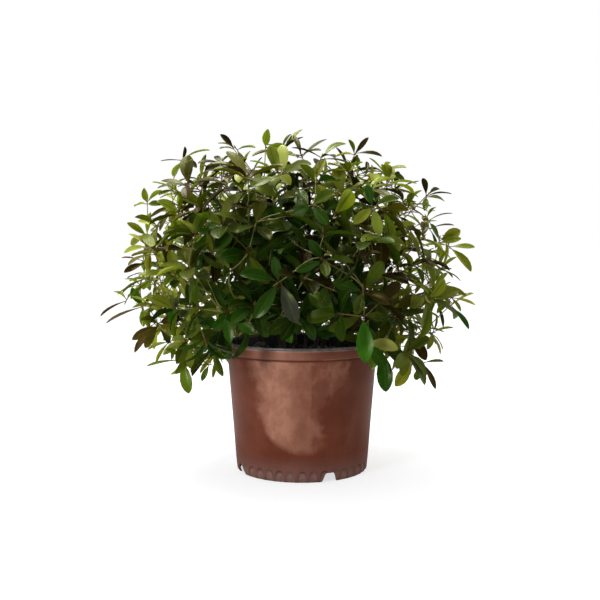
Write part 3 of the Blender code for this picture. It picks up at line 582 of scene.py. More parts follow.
def rings_round(line, ways, radii, sides, rings_a_turn=math.inf):
    """Points round a line: at each of its points a ring square to its way, turned on from the last one."""
    side = unit(np.cross(ways[0], ACROSS))
    points = []
    for n, (middle, way, radius) in enumerate(zip(line, ways, radii)):
        side = unit(side - (side @ way) * way)
        other = np.cross(way, side)
        for k in range(sides):
            turn = math.tau * (k / sides + n / rings_a_turn)
            points.append(middle + radius * (math.cos(turn) * side + math.sin(turn) * other))
    return points


def ring_quads(rings, sides):
    """The quads between neighbouring rings of a tube, as indices into its points, ring after ring."""
    a = np.arange((rings - 1) * sides).reshape(-1, sides)
    b = np.roll(a, -1, axis=1)
    return np.stack([a, b, b + sides, a + sides], axis=-1).reshape(-1, 4)


def closed_faces(rings, sides):
    """The faces of a closed skin of rings: a cap at each end and the quads between."""
    last = (rings - 1) * sides
    caps = [tuple(range(sides))[::-1], tuple(range(last, last + sides))]
    return caps + ring_quads(rings, sides).tolist()


def tube(line, radii, sides):
    """A closed tube along a line of points, with its own radius at each."""
    points = rings_round(line, units(np.gradient(line, axis=0)), radii, sides)
    return np.array(points), closed_faces(len(line), sides)


def end_way(twig):
    """The direction of a twig's straight end."""
    line = bezier(twig, TWIG_STEPS)
    return unit(line[-1] - line[-2])


def shoot_head(twig, thin, thick, leaf_count, forks):
    """A twig as a closed three-sided tube: its points, its plain faces, and its seats for leaves. The seats
    lie near its end, in short bands that each turn by a sixth, so every band has six small triangles that
    face six ways. Both ends are sunk one radius into what they meet."""
    line = bezier(twig, TWIG_STEPS)
    line[0] -= unit(line[1] - line[0]) * thick
    way = unit(line[2] - line[1])
    bands = math.ceil(leaf_count / 2)
    tip = line[2] + way * thin
    first = thin + (LEAF_BAND if forks else 0.0)
    stations = [line[0], line[1], *[tip - way * (first + LEAF_BAND * n) for n in range(bands, -1, -1)], tip]
    ways = [unit(line[1] - line[0]), unit(line[2] - line[0])] + [way] * (bands + 2)
    radii = [thick, (thin + thick) / 2] + [thin] * (bands + 2)
    points = rings_round(stations, ways, radii, 3, rings_a_turn=6)
    faces, seats = [(2, 1, 0)], []
    for row in range(len(stations) - 1):
        for k in range(3):
            a, after = 3 * row + k, 3 * row + (k + 1) % 3
            pair = [(a, after, a + 3), (after, after + 3, a + 3)]
            (seats if 2 <= row < 2 + bands else faces).extend(pair)
    faces.append(tuple(range(len(points) - 3, len(points))))
    return points, faces, seats


def named_faces(leaf, head):
    """A leaf's faces by the names of their corners: those on its seat are the twig's own points."""
    _, faces, turn = leaf_mesh(leaf, head)
    names = [*leaf.seat[turn:], *leaf.seat[:turn], *[(leaf.seat, v) for v in range(7)]]
    return [tuple(names[v] for v in face) for face in faces]


def seat_corners(head, seat):
    return np.array([head[0][v] for v in seat])


def choose_seat(head, taken, way):
    """The free seat that faces most nearly a leaf's way."""
    def facing(seat):
        a, b, c = seat_corners(head, seat)
        return unit(np.cross(b - a, c - a)) @ way
    return max((seat for seat in head[2] if seat not in taken), key=facing)


def leaf_faces(points):
    """The triangles of a coarse leaf's three rings of three points and its tip. Each four-sided face between
    two rings is split along the line that stands outwards, so the skin never folds into itself."""
    faces = [(2, 1, 0)]
    for row in (0, 3):
        for k in range(3):
            a, after = row + k, row + (k + 1) % 3
            normal = np.cross(points[after] - points[a], points[a + 3] - points[a])
            if normal @ (points[after + 3] - points[a]) < 0:
                faces += [(a, after, a + 3), (after, after + 3, a + 3)]
            else:
                faces += [(a, after, after + 3), (a, after + 3, a + 3)]
    return faces + [(6 + k, 6 + (k + 1) % 3, 9) for k in range(3)]


def leaf_mesh(leaf, head, trim=0.0, grown=0.0):
    """A coarse blade of triangular section, for the tests of crossing: the seat that it grows from, two rows
    and a tip. It bulges upwards between base and tip. Trim cuts off the share of the petiole next to the
    seat, and grown makes it larger all round."""
    corners = seat_corners(head, leaf.seat)
    base = corners.mean(0)
    chord = leaf.tip - base
    length = np.linalg.norm(chord)
    across = np.cross(chord / length, leaf.normal)
    rows = []
    for u, share in LEAF_ROWS:
        out = across * (share * leaf.width / 2 + 2 * grown)
        middle = base + u * chord + leaf.normal * length * leaf.arch * 4 * u * (1 - u)
        half_depth = leaf.normal * (LEAF_THICKNESS / 2 + grown)
        rows += [middle + half_depth - out, middle + half_depth + out, middle - half_depth]
    wide = np.array(rows[:3])
    wanted = wide - wide.mean(0)
    turn = max(range(3), key=lambda n: (np.roll(corners - base, -n, axis=0) * wanted).sum())
    root = np.roll(corners, -turn, axis=0)
    root = base + (root - base) * (1 + grown / 0.001) if grown else root
    root = root + trim * (wide - root)
    points = np.array([*root, *rows, leaf.tip + chord / length * 2 * grown])
    return points, leaf_faces(points), turn


def bvh(points, faces, *_):
    return BVHTree.FromPolygons([Vector(p) for p in points], faces)


def pot_guard():
    """The pot and the space over its mix, a little larger, as a solid that leaves and twigs keep out of."""
    line = np.array([UP * 0.0, UP * (POT_HEIGHT + POT_CLEARANCE)])
    return bvh(*tube(line, [FOOT_RADIUS + POT_CLEARANCE, BAND_RADIUS + POT_CLEARANCE], 24))


class Foliage:
    """Leaves, each set down only where it crosses nothing that is already there."""

    def __init__(self, tree):
        self.tree = tree
        self.pot = pot_guard()
        self.leaves, self.skins, self.middles = [], [], np.empty((0, 3))
        self.heads, self.radii, self.counts, self.tubes = {}, {}, {}, {}
        self.tube_sites, self.tube_middles, self.tube_sizes = [], np.empty((0, 3)), np.empty(0)

    def add_head(self, i, radii, leaf_count):
        twig = self.tree.twigs[i]
        head = shoot_head(twig, *radii, leaf_count, self.tree.children[i] > 0)
        self.heads[i], self.radii[i], self.counts[i] = head, radii, leaf_count
        self.tubes[i] = bvh(head[0], head[1] + head[2])
        self.tube_sites.append(i)
        self.tube_middles = np.vstack([self.tube_middles, (twig.start + twig.end) / 2])
        size = np.linalg.norm(twig.end - twig.start) / 2 + TWIG_ROOM
        self.tube_sizes = np.append(self.tube_sizes, size)

    def fits(self, leaf):
        head = self.heads[leaf.site]
        mesh = leaf_mesh(leaf, head, ROOT_TRIM, GAP)
        if any(inside_pot(p, POT_CLEARANCE) for p in mesh[0]):
            return False
        body = bvh(*mesh)
        if body.overlap(self.pot):
            return False
        middle, size = mesh[0][3:6].mean(0), np.linalg.norm(mesh[0][9] - mesh[0][0]) * LEAF_HALF_SIZE
        near = np.linalg.norm(self.tube_middles - middle, axis=1) < size + self.tube_sizes
        if any(body.overlap(self.tubes[self.tube_sites[n]]) for n in np.nonzero(near)[0]):
            return False
        near = np.linalg.norm(self.middles - middle, axis=1) < LEAF_NEIGHBOURS
        if any(body.overlap(self.skins[i]) for i in np.nonzero(near)[0]):
            return False
        return self.root_is_clear(leaf)

    def root_is_clear(self, leaf):
        """Whether a leaf, right down to its seat, cuts no face of its own shoot apart from those that share
        a corner with it."""
        _, faces, seats = self.heads[leaf.site]
        root = named_faces(leaf, self.heads[leaf.site])
        body = bvh(*leaf_mesh(leaf, self.heads[leaf.site]))
        skins = [(self.tubes[leaf.site], faces + seats), (body, root)]
        for i, other in enumerate(self.leaves):
            if other.site == leaf.site:
                skins.append((self.skins[i], named_faces(other, self.heads[leaf.site])))
        for skin, skin_faces in skins:
            if any(not set(root[a]) & set(skin_faces[b]) for a, b in body.overlap(skin)):
                return False
        return True

    def set_down(self, choices, unwanted=lambda leaf: False):
        """Adds, of each leaf's candidates, the first that is wanted and fits."""
        for candidates in choices:
            leaf = next((one for one in candidates if not unwanted(one) and self.fits(one)), None)
            if leaf is not None:
                mesh = leaf_mesh(leaf, self.heads[leaf.site])
                self.leaves.append(leaf)
                self.skins.append(bvh(*mesh))
                self.middles = np.vstack([self.middles, mesh[0][3:6].mean(0)])

    def twig_fits(self, twig, radius):
        """Whether a twig, apart from its first part, cuts none of the leaves that are already there."""
        line = bezier(twig, 5)[1:]
        body = bvh(*tube(line, [radius] * len(line), 3))
        middle, size = (line[0] + line[-1]) / 2, np.linalg.norm(line[-1] - line[0]) / 2 + LEAF_LENGTH
        near = np.linalg.norm(self.middles - middle, axis=1) < size
        return not any(body.overlap(self.skins[i]) for i in np.nonzero(near)[0])

    def taken(self, site):
        return [leaf.seat for leaf in self.leaves if leaf.site == site]


def square_to(normal, ahead):
    """The part of a normal that is square to the leaf's own direction."""
    if abs(normal @ ahead) > NEARLY_ALONG:
        normal = normal + MOVED_ASIDE
    return unit(normal - (normal @ ahead) * ahead)


def hand_leaves(site, foliage, leaves, tones):
    """Candidates for each listed leaf: its length says how far it reaches towards the viewer or away."""
    head, point = foliage.heads[site], foliage.tree.points[site]
    towards = -1.0 if point[1] < 0.05 else 1.0
    for k, (right, up, face) in enumerate(leaves):
        rng = np.random.default_rng([HAND_SEED, site, k])
        seen = math.hypot(right, up) * MM
        usual = USUAL_SHARE * LEAF_LENGTH * rng.uniform(*HAND_LENGTHS)
        length = max(seen * LEAST_SLANT, SEEN_SHARE * seen + usual)
        depth = math.sqrt(length**2 - seen**2)
        width = length * LEAF_WIDTH_SHARE * rng.uniform(*HAND_WIDTHS)
        arch = rng.uniform(*HAND_ARCHES)
        taken = foliage.taken(site)
        options = []
        for share, tilt in HAND_TRIES:
            tip = point + np.array([right * MM, towards * share * depth, up * MM])
            seat = choose_seat(head, taken, unit(tip - point))
            facing = unit((1 - face) * UP + face * TO_VIEWER + tilt * HAND_TILT)
            normal = square_to(facing, unit(tip - seat_corners(head, seat).mean(0)))
            options.append(Leaf(site, seat, tip, normal, width, arch, TONE_LETTERS[tones[k]]))
        yield options


def hides_rim(leaf):
    """Whether a leaf would hang over the front of the rim, which is in plain sight."""
    half, height = RIM_SIGHT
    return abs(leaf.tip[0]) < half and leaf.tip[1] < 0 and leaf.tip[2] < height


def whorl_leaves(site, foliage, count, spread, sizes=WHORL_SIZES, lift=WHORL_LIFT):
    """Candidates for each leaf of a false whorl: they stand out all round the shoot, and droop. The lift
    turns their upper faces from the shoot's way to the sky."""
    rng = np.random.default_rng([WHORL_SEED, site])
    first = rng.uniform(0, math.tau)
    head, lead = foliage.heads[site], foliage.tree.lead[site]
    side = unit(np.cross(lead, [0.2, 0.3, 0.93]))
    other = np.cross(lead, side)
    for k in range(count):
        around = first + math.tau * k / count + rng.uniform(-WHORL_STRAY, WHORL_STRAY)
        away = math.radians(rng.uniform(*spread))
        length = LEAF_LENGTH * rng.uniform(*sizes)
        width = length * LEAF_WIDTH_SHARE * rng.uniform(*WHORL_WIDTHS)
        arch, droop = rng.uniform(*WHORL_ARCHES), rng.uniform(*WHORL_DROOPS)
        taken = foliage.taken(site)
        options = []
        for step, narrower in WHORL_TRIES:
            turn, polar = around + step, away + narrower
            out = math.cos(turn) * side + math.sin(turn) * other
            ahead = unit(math.cos(polar) * lead + math.sin(polar) * out - droop * UP)
            seat = choose_seat(head, taken, ahead)
            tip = seat_corners(head, seat).mean(0) + ahead * length
            normal = square_to(unit(lead + lift * UP), ahead)
            options.append(Leaf(site, seat, tip, normal, width, arch, None))
        yield options


def twig_radii(tree, carried, i):
    """A twig's radius at its tip and its root: pipes as wide as the shoots that they feed ask for."""
    children = [carried[c] for c in range(len(tree.points)) if tree.parent[c] == i]
    thin = TIP_RADIUS * max(children, default=1) ** PIPE_POWER
    return thin, FORK_SWELL * TIP_RADIUS * carried[i] ** PIPE_POWER


def grow_packed_shoots():
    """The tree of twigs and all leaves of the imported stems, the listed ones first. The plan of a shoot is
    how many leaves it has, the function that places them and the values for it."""
    sites = [np.array(place) * MM for place, _, _ in SHOOTS]
    plans = [(len(leaves), hand_leaves, (leaves, tones)) for _, tones, leaves in SHOOTS]
    for seed, (shell, tried, spacing, count, spread) in enumerate(SHELLS):
        found = sites_apart(shell_points(tried, shell, SHELL_SEED + seed), sites, spacing)
        sites += found
        plans += [(count, whorl_leaves, (count, spread))] * len(found)
    tree = Tree()
    tree.grow(sites)
    site_of = {tuple(point): i for i, point in enumerate(tree.points)}
    planned = {site_of[tuple(point)]: plan for point, plan in zip(sites, plans) if tuple(point) in site_of}
    foliage = Foliage(tree)
    carried = tree.tips_carried()
    for i, twig in enumerate(tree.twigs):
        if twig:
            foliage.add_head(i, twig_radii(tree, carried, i), planned[i][0] if i in planned else 0)
    for i, (_, place_leaves, values) in planned.items():
        foliage.set_down(place_leaves(i, foliage, *values))
    return tree, foliage


def add_shoot(tree, foliage, site, leaf_count):
    """Joins one further shoot on where that costs least and its twig cuts no leaf. Gives its number, or None
    where it finds no way."""
    cost = tree.join_costs([site], FILL_FORKS)[:, 0]
    for p in np.argsort(cost)[:FILL_PARENTS]:
        twig = tree.twig(p, site)
        if foliage.twig_fits(twig, FILL_TIP) and tree.clear(twig, FILL_CLEARANCE):
            i = len(tree.points)
            tree.attach(p, site, twig)
            foliage.add_head(i, (FILL_TIP, FILL_ROOT), leaf_count)
            return i
    return None


def add_whorl(tree, foliage, site, count, *form):
    """A further shoot with a whorl of leaves, none of them over the front of the rim."""
    i = add_shoot(tree, foliage, site, count)
    if i is not None:
        foliage.set_down(whorl_leaves(i, foliage, count, *form), hides_rim)


def fill_crown(tree, foliage):
    """Further shoots: the listed ones, then shell by shell from the outside in, then the low ones."""
    for place, tones, leaves in FURTHER_SHOOTS:
        i = add_shoot(tree, foliage, np.array(place) * MM, len(leaves))
        if i is not None:
            foliage.set_down(hand_leaves(i, foliage, leaves, tones))
    for seed, (shell, tried, spacing, count, spread, sizes, lift) in enumerate(FILL_SHELLS):
        points = shell_points(tried, shell, FILL_SEED + seed, FILL_DROP_DEG * (1 - shell))
        for site in sites_apart(points, tree.points, spacing):
            if FILL_HEIGHTS[0] < site[2] < FILL_HEIGHTS[1]:
                front = max(0.0, float(unit(site - CROWN_MIDDLE) @ TO_VIEWER))
                sizes_here = [size + FRONT_LARGER * front for size in sizes]
                lift_here = lift + (min(lift, FRONT_LIFT) - lift) * front
                add_whorl(tree, foliage, site, count, spread, sizes_here, lift_here)
    drawn = np.random.default_rng(LOW_SEED).uniform(*np.array(LOW_BOX).T, (LOW_TRIED, 3))
    for site in sites_apart(drawn, tree.points, LOW_SPACING):
        add_whorl(tree, foliage, site, *LOW_LEAVES)


def smooth(t):
    """The curve 3 t squared less 2 t cubed, held at 0 below 0 and at 1 above 1."""
    t = np.clip(t, 0.0, 1.0)
    return t * t * (3 - 2 * t)


def capped_tubes(rings, ends):
    """Points and faces of many tubes at once. Rings has one grid of points a tube, by ring and side, each
    with an end point past its last ring. The first ring is closed by one face, the last by a fan."""
    count, rows, sides, _ = rings.shape
    points = np.concatenate([rings.reshape(count, rows * sides, 3), ends[:, None]], axis=1)
    first = np.arange(sides)
    last = (rows - 1) * sides + first
    fan = np.stack([last, np.roll(last, -1), np.full(sides, rows * sides)], axis=-1)
    faces = []
    for shape in (ring_quads(rows, sides), fan, first[None, ::-1]):
        shifted = shape[None] + (np.arange(count) * points.shape[1])[:, None, None]
        faces += shifted.reshape(-1, shape.shape[1]).tolist()
    return points.reshape(-1, 3), faces


def stand(name, data):
    """An object in the scene for a mesh, a light or a camera."""
    made = bpy.data.objects.new(name, data)
    bpy.context.scene.collection.objects.link(made)
    return made


def skin(name, points, faces, smooth_deg=180):
    """A mesh object from points that are measured from the pot's axis, smooth up to an angle."""
    mesh = bpy.data.meshes.new(name)
    mesh.from_pydata((points + POT_AXIS).tolist(), [], faces)
    mesh.polygons.foreach_set("use_smooth", np.ones(len(mesh.polygons), bool))
    if smooth_deg < 180:
        mesh.set_sharp_from_angle(angle=math.radians(smooth_deg))
    return stand(name, mesh)


def add_values(piece, name, values):
    """One number a point, or one colour a point, for the materials to read."""
    kind = "FLOAT" if values.ndim == 1 else "FLOAT_COLOR"
    attribute = piece.data.attributes.new(name, kind, "POINT")
    if values.ndim == 2:
        values = np.concatenate([values, np.ones((len(values), 1))], axis=1)
    field = "value" if kind == "FLOAT" else "color"
    attribute.data.foreach_set(field, values.astype(np.float32).ravel())


def add_uv(piece, uv):
    """A UV map from one pair a point."""
    loops = np.empty(len(piece.data.loops), np.int32)
    piece.data.loops.foreach_get("vertex_index", loops)
    piece.data.uv_layers.new(name="leaf").data.foreach_set("uv", uv[loops].astype(np.float32).ravel())


def finish_piece(piece, materials, slot, *nodes):
    for one in materials:
        piece.data.materials.append(one)
    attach(piece, "root")
    if nodes:
        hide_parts(*nodes)


def blade_outline(t):
    """Half the breadth of a blade, as a share of its greatest: t times (1 - t) to the power BLADE_TIP, which
    makes a wedge at the base, is widest a little past the middle and closes in a short point."""
    widest = 1 / (1 + BLADE_TIP)
    return t * (1 - t) ** BLADE_TIP / (widest * (1 - widest) ** BLADE_TIP)


def leaf_rings(base, chord, normal, width, arch, fold, twist):
    """Rings of six points along each leaf. A point lies at base + u chord, raised by the arch: length x arch
    x 4 u (1 - u). Its ring is round on the petiole, and on the blade flat: half the breadth times the ring's
    own share across, raised by the fold in proportion to its distance from the rib, with the rib sunk in
    above and standing out below. The twist turns each ring about the chord, from base to tip."""
    u = np.concatenate([[0.0, PETIOLE_SHARE], PETIOLE_SHARE + (1 - PETIOLE_SHARE) * BLADE_ROWS])
    t = np.concatenate([[0.0, 0.0], BLADE_ROWS])
    flat = smooth(t / BLADE_ROWS[0])[None, :, None]
    length = lengths(chord)
    half = np.maximum(width[:, None] / 2 * blade_outline(t), PETIOLE_RADIUS)[..., None]
    across = half * (flat * RING_ACROSS + (1 - flat) * PETIOLE_ACROSS)
    from_rib = np.abs(RING_ACROSS)
    raised = from_rib * (1 + FOLD_ROUND - FOLD_ROUND * from_rib) * np.tan(fold)[:, None, None]
    upward = (1 - flat) * PETIOLE_UP * PETIOLE_RADIUS
    upward = upward + flat * (RING_UP * BLADE_THICKNESS + half * raised)
    turn = (twist[:, None] * (u - 0.5))[..., None, None]
    side = np.cross(chord / length, normal)[:, None, None]
    face = normal[:, None, None]
    out = side * np.cos(turn) + face * np.sin(turn)
    rise = face * np.cos(turn) - side * np.sin(turn)
    bow = (length * arch[:, None] * 4 * u * (1 - u))[..., None, None] * face
    spine = base[:, None, None] + u[:, None, None] * chord[:, None, None] + bow
    return spine + across[..., None] * out + upward[..., None] * rise, u


def foliage_offsets(foliage, leaves):
    return np.array([foliage.tree.points[leaf.site] for leaf in leaves]) - CROWN_MIDDLE


def leaves_piece(name, foliage, leaves, tones):
    """All leaves of one stem, each a closed skin of six-point rings from its petiole to its tip."""
    base = np.array([seat_corners(foliage.heads[leaf.site], leaf.seat).mean(0) for leaf in leaves])
    chord = np.array([leaf.tip for leaf in leaves]) - base
    normal = np.array([leaf.normal for leaf in leaves])
    width, arch = np.array([(leaf.width, leaf.arch) for leaf in leaves]).T
    offset = foliage_offsets(foliage, leaves)
    front = smooth(-offset[:, 1] / np.linalg.norm(offset, axis=1) / FULLY_FRONT)
    by_hand = np.array([bool(leaf.tone) for leaf in leaves])
    slender = np.where(by_hand, HAND_SLENDER, WHORL_SLENDER)
    slender = np.where(by_hand & (normal @ TO_VIEWER > LOOKS_AT_VIEWER), 0.0, slender)
    width = width * (1 - (1 - front) * slender)
    width = width * (1 - front * np.where(by_hand, FRONT_SLENDER, 0))
    rng = np.random.default_rng([FOLD_SEED, len(leaves)])
    fold = np.radians(rng.uniform(*FOLD_DEG, len(leaves)))
    twist = np.radians(rng.uniform(-TWIST_DEG, TWIST_DEG, len(leaves)))
    rings, u = leaf_rings(base, chord, normal, width, arch, fold, twist)
    points, faces = capped_tubes(rings, base + chord)
    piece = skin(name, points, faces, LEAF_CREASE_DEG)
    along = np.append(np.repeat(u, 6), 1.0)
    over = np.append(np.tile((RING_ACROSS + 1) / 2, len(u)), 0.5)
    upper = np.append(np.tile(RING_UPPER, len(u)), 0.5)
    add_uv(piece, np.tile(np.stack([along, over], axis=1), (len(leaves), 1)))
    add_values(piece, "upper", np.tile(upper, len(leaves)))
    add_values(piece, "tone", np.repeat(tones, len(along), axis=0))
    return piece


def leaf_colour(leaf, own, light, bronze):
    """A leaf's colour: a blend of the greens by how light it is, then of that with bronze by how bronze it
    is. For a listed leaf, its own tone says both."""
    if leaf.tone:
        light = {"olive": own.uniform(0.75, 1.0), "mid": own.uniform(0.3, 0.5)}.get(leaf.tone, 0.0)
        bronze = own.uniform(0.85, 1.0) if leaf.tone == "bronze" else 0.0
    low, high = ("deep", "mid") if light < MID_GREEN else ("mid", "olive")
    share = light / MID_GREEN if light < MID_GREEN else (light - MID_GREEN) / (1 - MID_GREEN)
    green = np.array(TONES[low]) * (1 - share) + np.array(TONES[high]) * share
    # The bright tone and the grey tone are painted light and a painted sheen, kept as they are
    if leaf.tone in ("bright", "silver"):
        return np.array(TONES[leaf.tone])
    return green * (1 - bronze) + np.array(TONES["bronze"]) * bronze


def leaf_tones(foliage):
    """Each leaf's own colour. High and outer shoots are light olive, or bronze where a shoot is new, and low,
    inner and front ones are deep green; this lightness by place is painted light and shade. Leaves low at the
    sides are then lightened and those low at the front darkened, also painted light and shade, and every leaf
    then departs a little from its shoot."""
    tones = []
    for n, leaf in enumerate(foliage.leaves):
        shoot = np.random.default_rng([SHOOT_TONE_SEED, leaf.site]).uniform(size=3)
        own = np.random.default_rng([LEAF_TONE_SEED, n])
        offset = foliage.tree.points[leaf.site] - CROWN_MIDDLE
        reach = np.linalg.norm(offset)
        outer = reach / crown_reach(offset / reach)
        front, aside = max(0.0, -offset[1] / reach), abs(offset[0]) / reach
        height = np.clip((leaf.tip[2] - CROWN_FOOT) / CROWN_RISE, 0, 1)
        # Painted light and shade: lighter outside, high and at the sides, darker low at the front
        light = LIGHT_OUTER * (outer - OUTER_FROM) + LIGHT_HIGH * height
        light += aside * (LIGHT_ASIDE + LIGHT_LOW_ASIDE * (1 - height))
        light -= PAINTED_LOW_FRONT_SHADE * front * (1 - height)
        light += own.normal(*LIGHT_OWN) + LIGHT_SHOOT * (shoot[0] - 0.5)
        new = shoot[1] < (NEW_OUTSIDE + NEW_HIGHER * height if outer > OUTSIDE_FROM else NEW_INSIDE)
        bronzed = new and own.uniform() < BRONZE_SHARE
        bronze = own.uniform(*BRONZE_NEW) if bronzed else own.uniform(0, BRONZE_OLD) ** 2
        colour = leaf_colour(leaf, own, float(np.clip(light, 0.0, 1.0)), bronze)
        brightness = own.uniform(*(HAND_BRIGHTNESS if leaf.tone else WHORL_BRIGHTNESS))
        # Pale young leaves away from the front; their paleness is partly painted light through them
        if not leaf.tone and not new and own.uniform() < YOUNG_SHARE * outer * (1 - front):
            colour, brightness = np.array(TONES["pale"]), own.uniform(*PALE_BRIGHTNESS)
        # Painted light low at the sides and painted shade at the front
        lighter = PAINTED_SIDE_LIGHT[int(offset[0] > 0)] * aside * (1 - height)
        brightness *= 1 + (lighter - PAINTED_FRONT_SHADE * front) * (1 - height)
        tones.append(colour * brightness * own.uniform(*COLOUR_STRAY, 3))
    return np.array(tones)


def tube_rings(line, radii, sides):
    """Rings round many lines at once: at each point of a line, a circle of its radius that is square to the
    line, made of the cosine and sine of the turn along two directions across it."""
    ahead = units(np.gradient(line, axis=1))
    side = units(np.cross(ahead, ACROSS))
    other = np.cross(ahead, side)
    turn = np.arange(sides) * math.tau / sides
    circle = side[:, :, None] * np.cos(turn)[:, None] + other[:, :, None] * np.sin(turn)[:, None]
    return line[:, :, None] + radii[:, :, None, None] * circle


def twig_lines(foliage, sites):
    """The middle line of each twig and its radius: a curve up to the bands that carry the leaves, then
    straight through them, then a bud that swells a little and comes to a point."""
    lines, radii, ends = [], [], []
    for i in sites:
        twig = foliage.tree.twigs[i]
        thicker = (np.array(foliage.radii[i]) / TIP_RADIUS) ** TWIG_THINNING
        thin, thick = TIP_RADIUS * TWIG_SLENDER * thicker
        way = end_way(twig)
        straight = foliage.radii[i][0] + LEAF_BAND * (math.ceil(foliage.counts[i] / 2) + 2)
        turn_in = twig.end - way * straight
        curve = bezier(Twig(twig.stem, twig.start, turn_in, twig.lead_out, way), TWIG_CURVE_STEPS)
        tip = twig.end + way * foliage.radii[i][0]
        bud = [tip + way * BUD_LENGTH * share for share, _ in BUD_FORM]
        lines.append(np.vstack([curve, *bud]))
        taper = np.linspace(thick, thin, TWIG_CURVE_STEPS + 1)
        radii.append(np.append(taper, [thin * swell for _, swell in BUD_FORM]))
        ends.append(tip + way * BUD_LENGTH)
    return np.array(lines), np.array(radii), np.array(ends)


def twigs_piece(name, foliage, sites, k):
    """The twigs of one stem and the stem itself. The value age is 0 at a bud and rises with the radius."""
    line, radii, ends = twig_lines(foliage, sites)
    points, faces = capped_tubes(tube_rings(line, radii, TWIG_SIDES), ends)
    age = np.append(np.repeat(np.linspace(*TWIG_AGES, line.shape[1]), TWIG_SIDES), 0.0)
    age = np.tile(age, len(line)) + np.repeat(radii[:, 0] / FULL_AGE_RADIUS, len(age))
    stem_line, stem_radii, stem_end = stem_shape(foliage.tree, k)
    more, more_faces = capped_tubes(tube_rings(stem_line[None], stem_radii[None], STEM_SIDES), stem_end[None])
    faces += [[v + len(points) for v in face] for face in more_faces]
    piece = skin(name, np.vstack([points, more]), faces)
    add_values(piece, "age", np.concatenate([age, np.ones(len(more))]))
    return piece


def stem_shape(tree, k):
    """A stem's middle line and radius: upright where it stands in the mix, then bent outwards to its fork,
    with a few small swellings where leaves once grew."""
    foot = np.array([*STEM_FEET[k], 0]) * MM
    start = foot + UP * (MIX_TOP + STEM_STRAIGHT)
    rise = bezier(Twig(k, start, tree.points[k], UP, tree.lead[k]), STEM_STEPS)
    line = np.vstack([[foot + UP * (MIX_TOP - STEM_DEPTH + GAP)], rise])
    share = np.linspace(0, 1, len(line))
    radii = STEM_FOOT_RADIUS + (STEM_FORK_RADIUS - STEM_FOOT_RADIUS) * share
    radii = radii * (1 + SWELLING * np.cos(share * SWELLING_WAVES + 2 * k) ** SWELLING_POWER)
    return line, radii, line[-1] + tree.lead[k] * STEM_FORK_RADIUS


def wall_radius(z):
    return FOOT_RADIUS + WALL_TAPER * z


def scallop(turn, z):
    """How far the foot is drawn in. X runs from -1 to 1 across a scallop and h from 0 at the floor to 1 at
    its top. The dent is full in its middle, and fades out where x over SCALLOP_BREADTH and h, each to the
    power SCALLOP_POWER, add up to 1."""
    x = 2 * np.mod(turn * SCALLOPS / math.tau, 1.0) - 1
    edge = np.abs(x / SCALLOP_BREADTH) ** SCALLOP_POWER + np.clip(z / SCALLOP_TOP, 0, 2) ** SCALLOP_POWER
    return SCALLOP_DEPTH * smooth((1 - edge) / SCALLOP_EASE)


def pot_profile():
    """The pot's closed profile as height, radius, share of the scallops and the shell it belongs to, 0 for
    the brown outside and 1 for the black inside: up from the foot, over the rim and down the inside."""
    foot = [(0.0, 0.0041), (0.0004, 0.0026), (0.0013, 0.0013), (0.003, 0.0006), (0.005, 0.0002)]
    rows = [(z, wall_radius(z) - inwards, 0.5 + 0.5 * smooth(z / 0.003), 0) for z, inwards in foot]
    walls = [*np.linspace(0.0065, SCALLOP_TOP, 11), 0.035, *np.linspace(0.06, 0.212, 9)]
    rows += [(z, wall_radius(z), 1.0, 0) for z in walls]
    rows += [(0.2164, wall_radius(0.2164), 0.0, 0), (0.2174, wall_radius(0.2174) - 0.0005, 0.0, 0)]
    band = [(0.2184, -0.0016), (0.2190, -0.0006), (0.2197, 0.0), (0.2270, 0.0003), (0.2343, 0.0001)]
    band += [(0.2351, -0.0001), (0.2355, -0.0005)]
    rows += [(z, BAND_RADIUS + out, 0.0, 0) for z, out in band]
    lip = [(0.2359, -0.0007), (0.2365, -0.0003), (0.2384, -0.0002), (0.2393, -0.0005), (0.2399, -0.0010)]
    lip += [(POT_HEIGHT, -0.0013), (0.2396, -0.0016)]
    rows += [(z, BAND_RADIUS + out, 0.0, 1) for z, out in lip]
    floor_top = FLOOR_UNDERSIDE + FLOOR_THICKNESS
    rows += [(z, wall_radius(z) - WALL, 0.0, 1) for z in (0.2385, 0.225, 0.16, 0.09, floor_top)]
    return rows


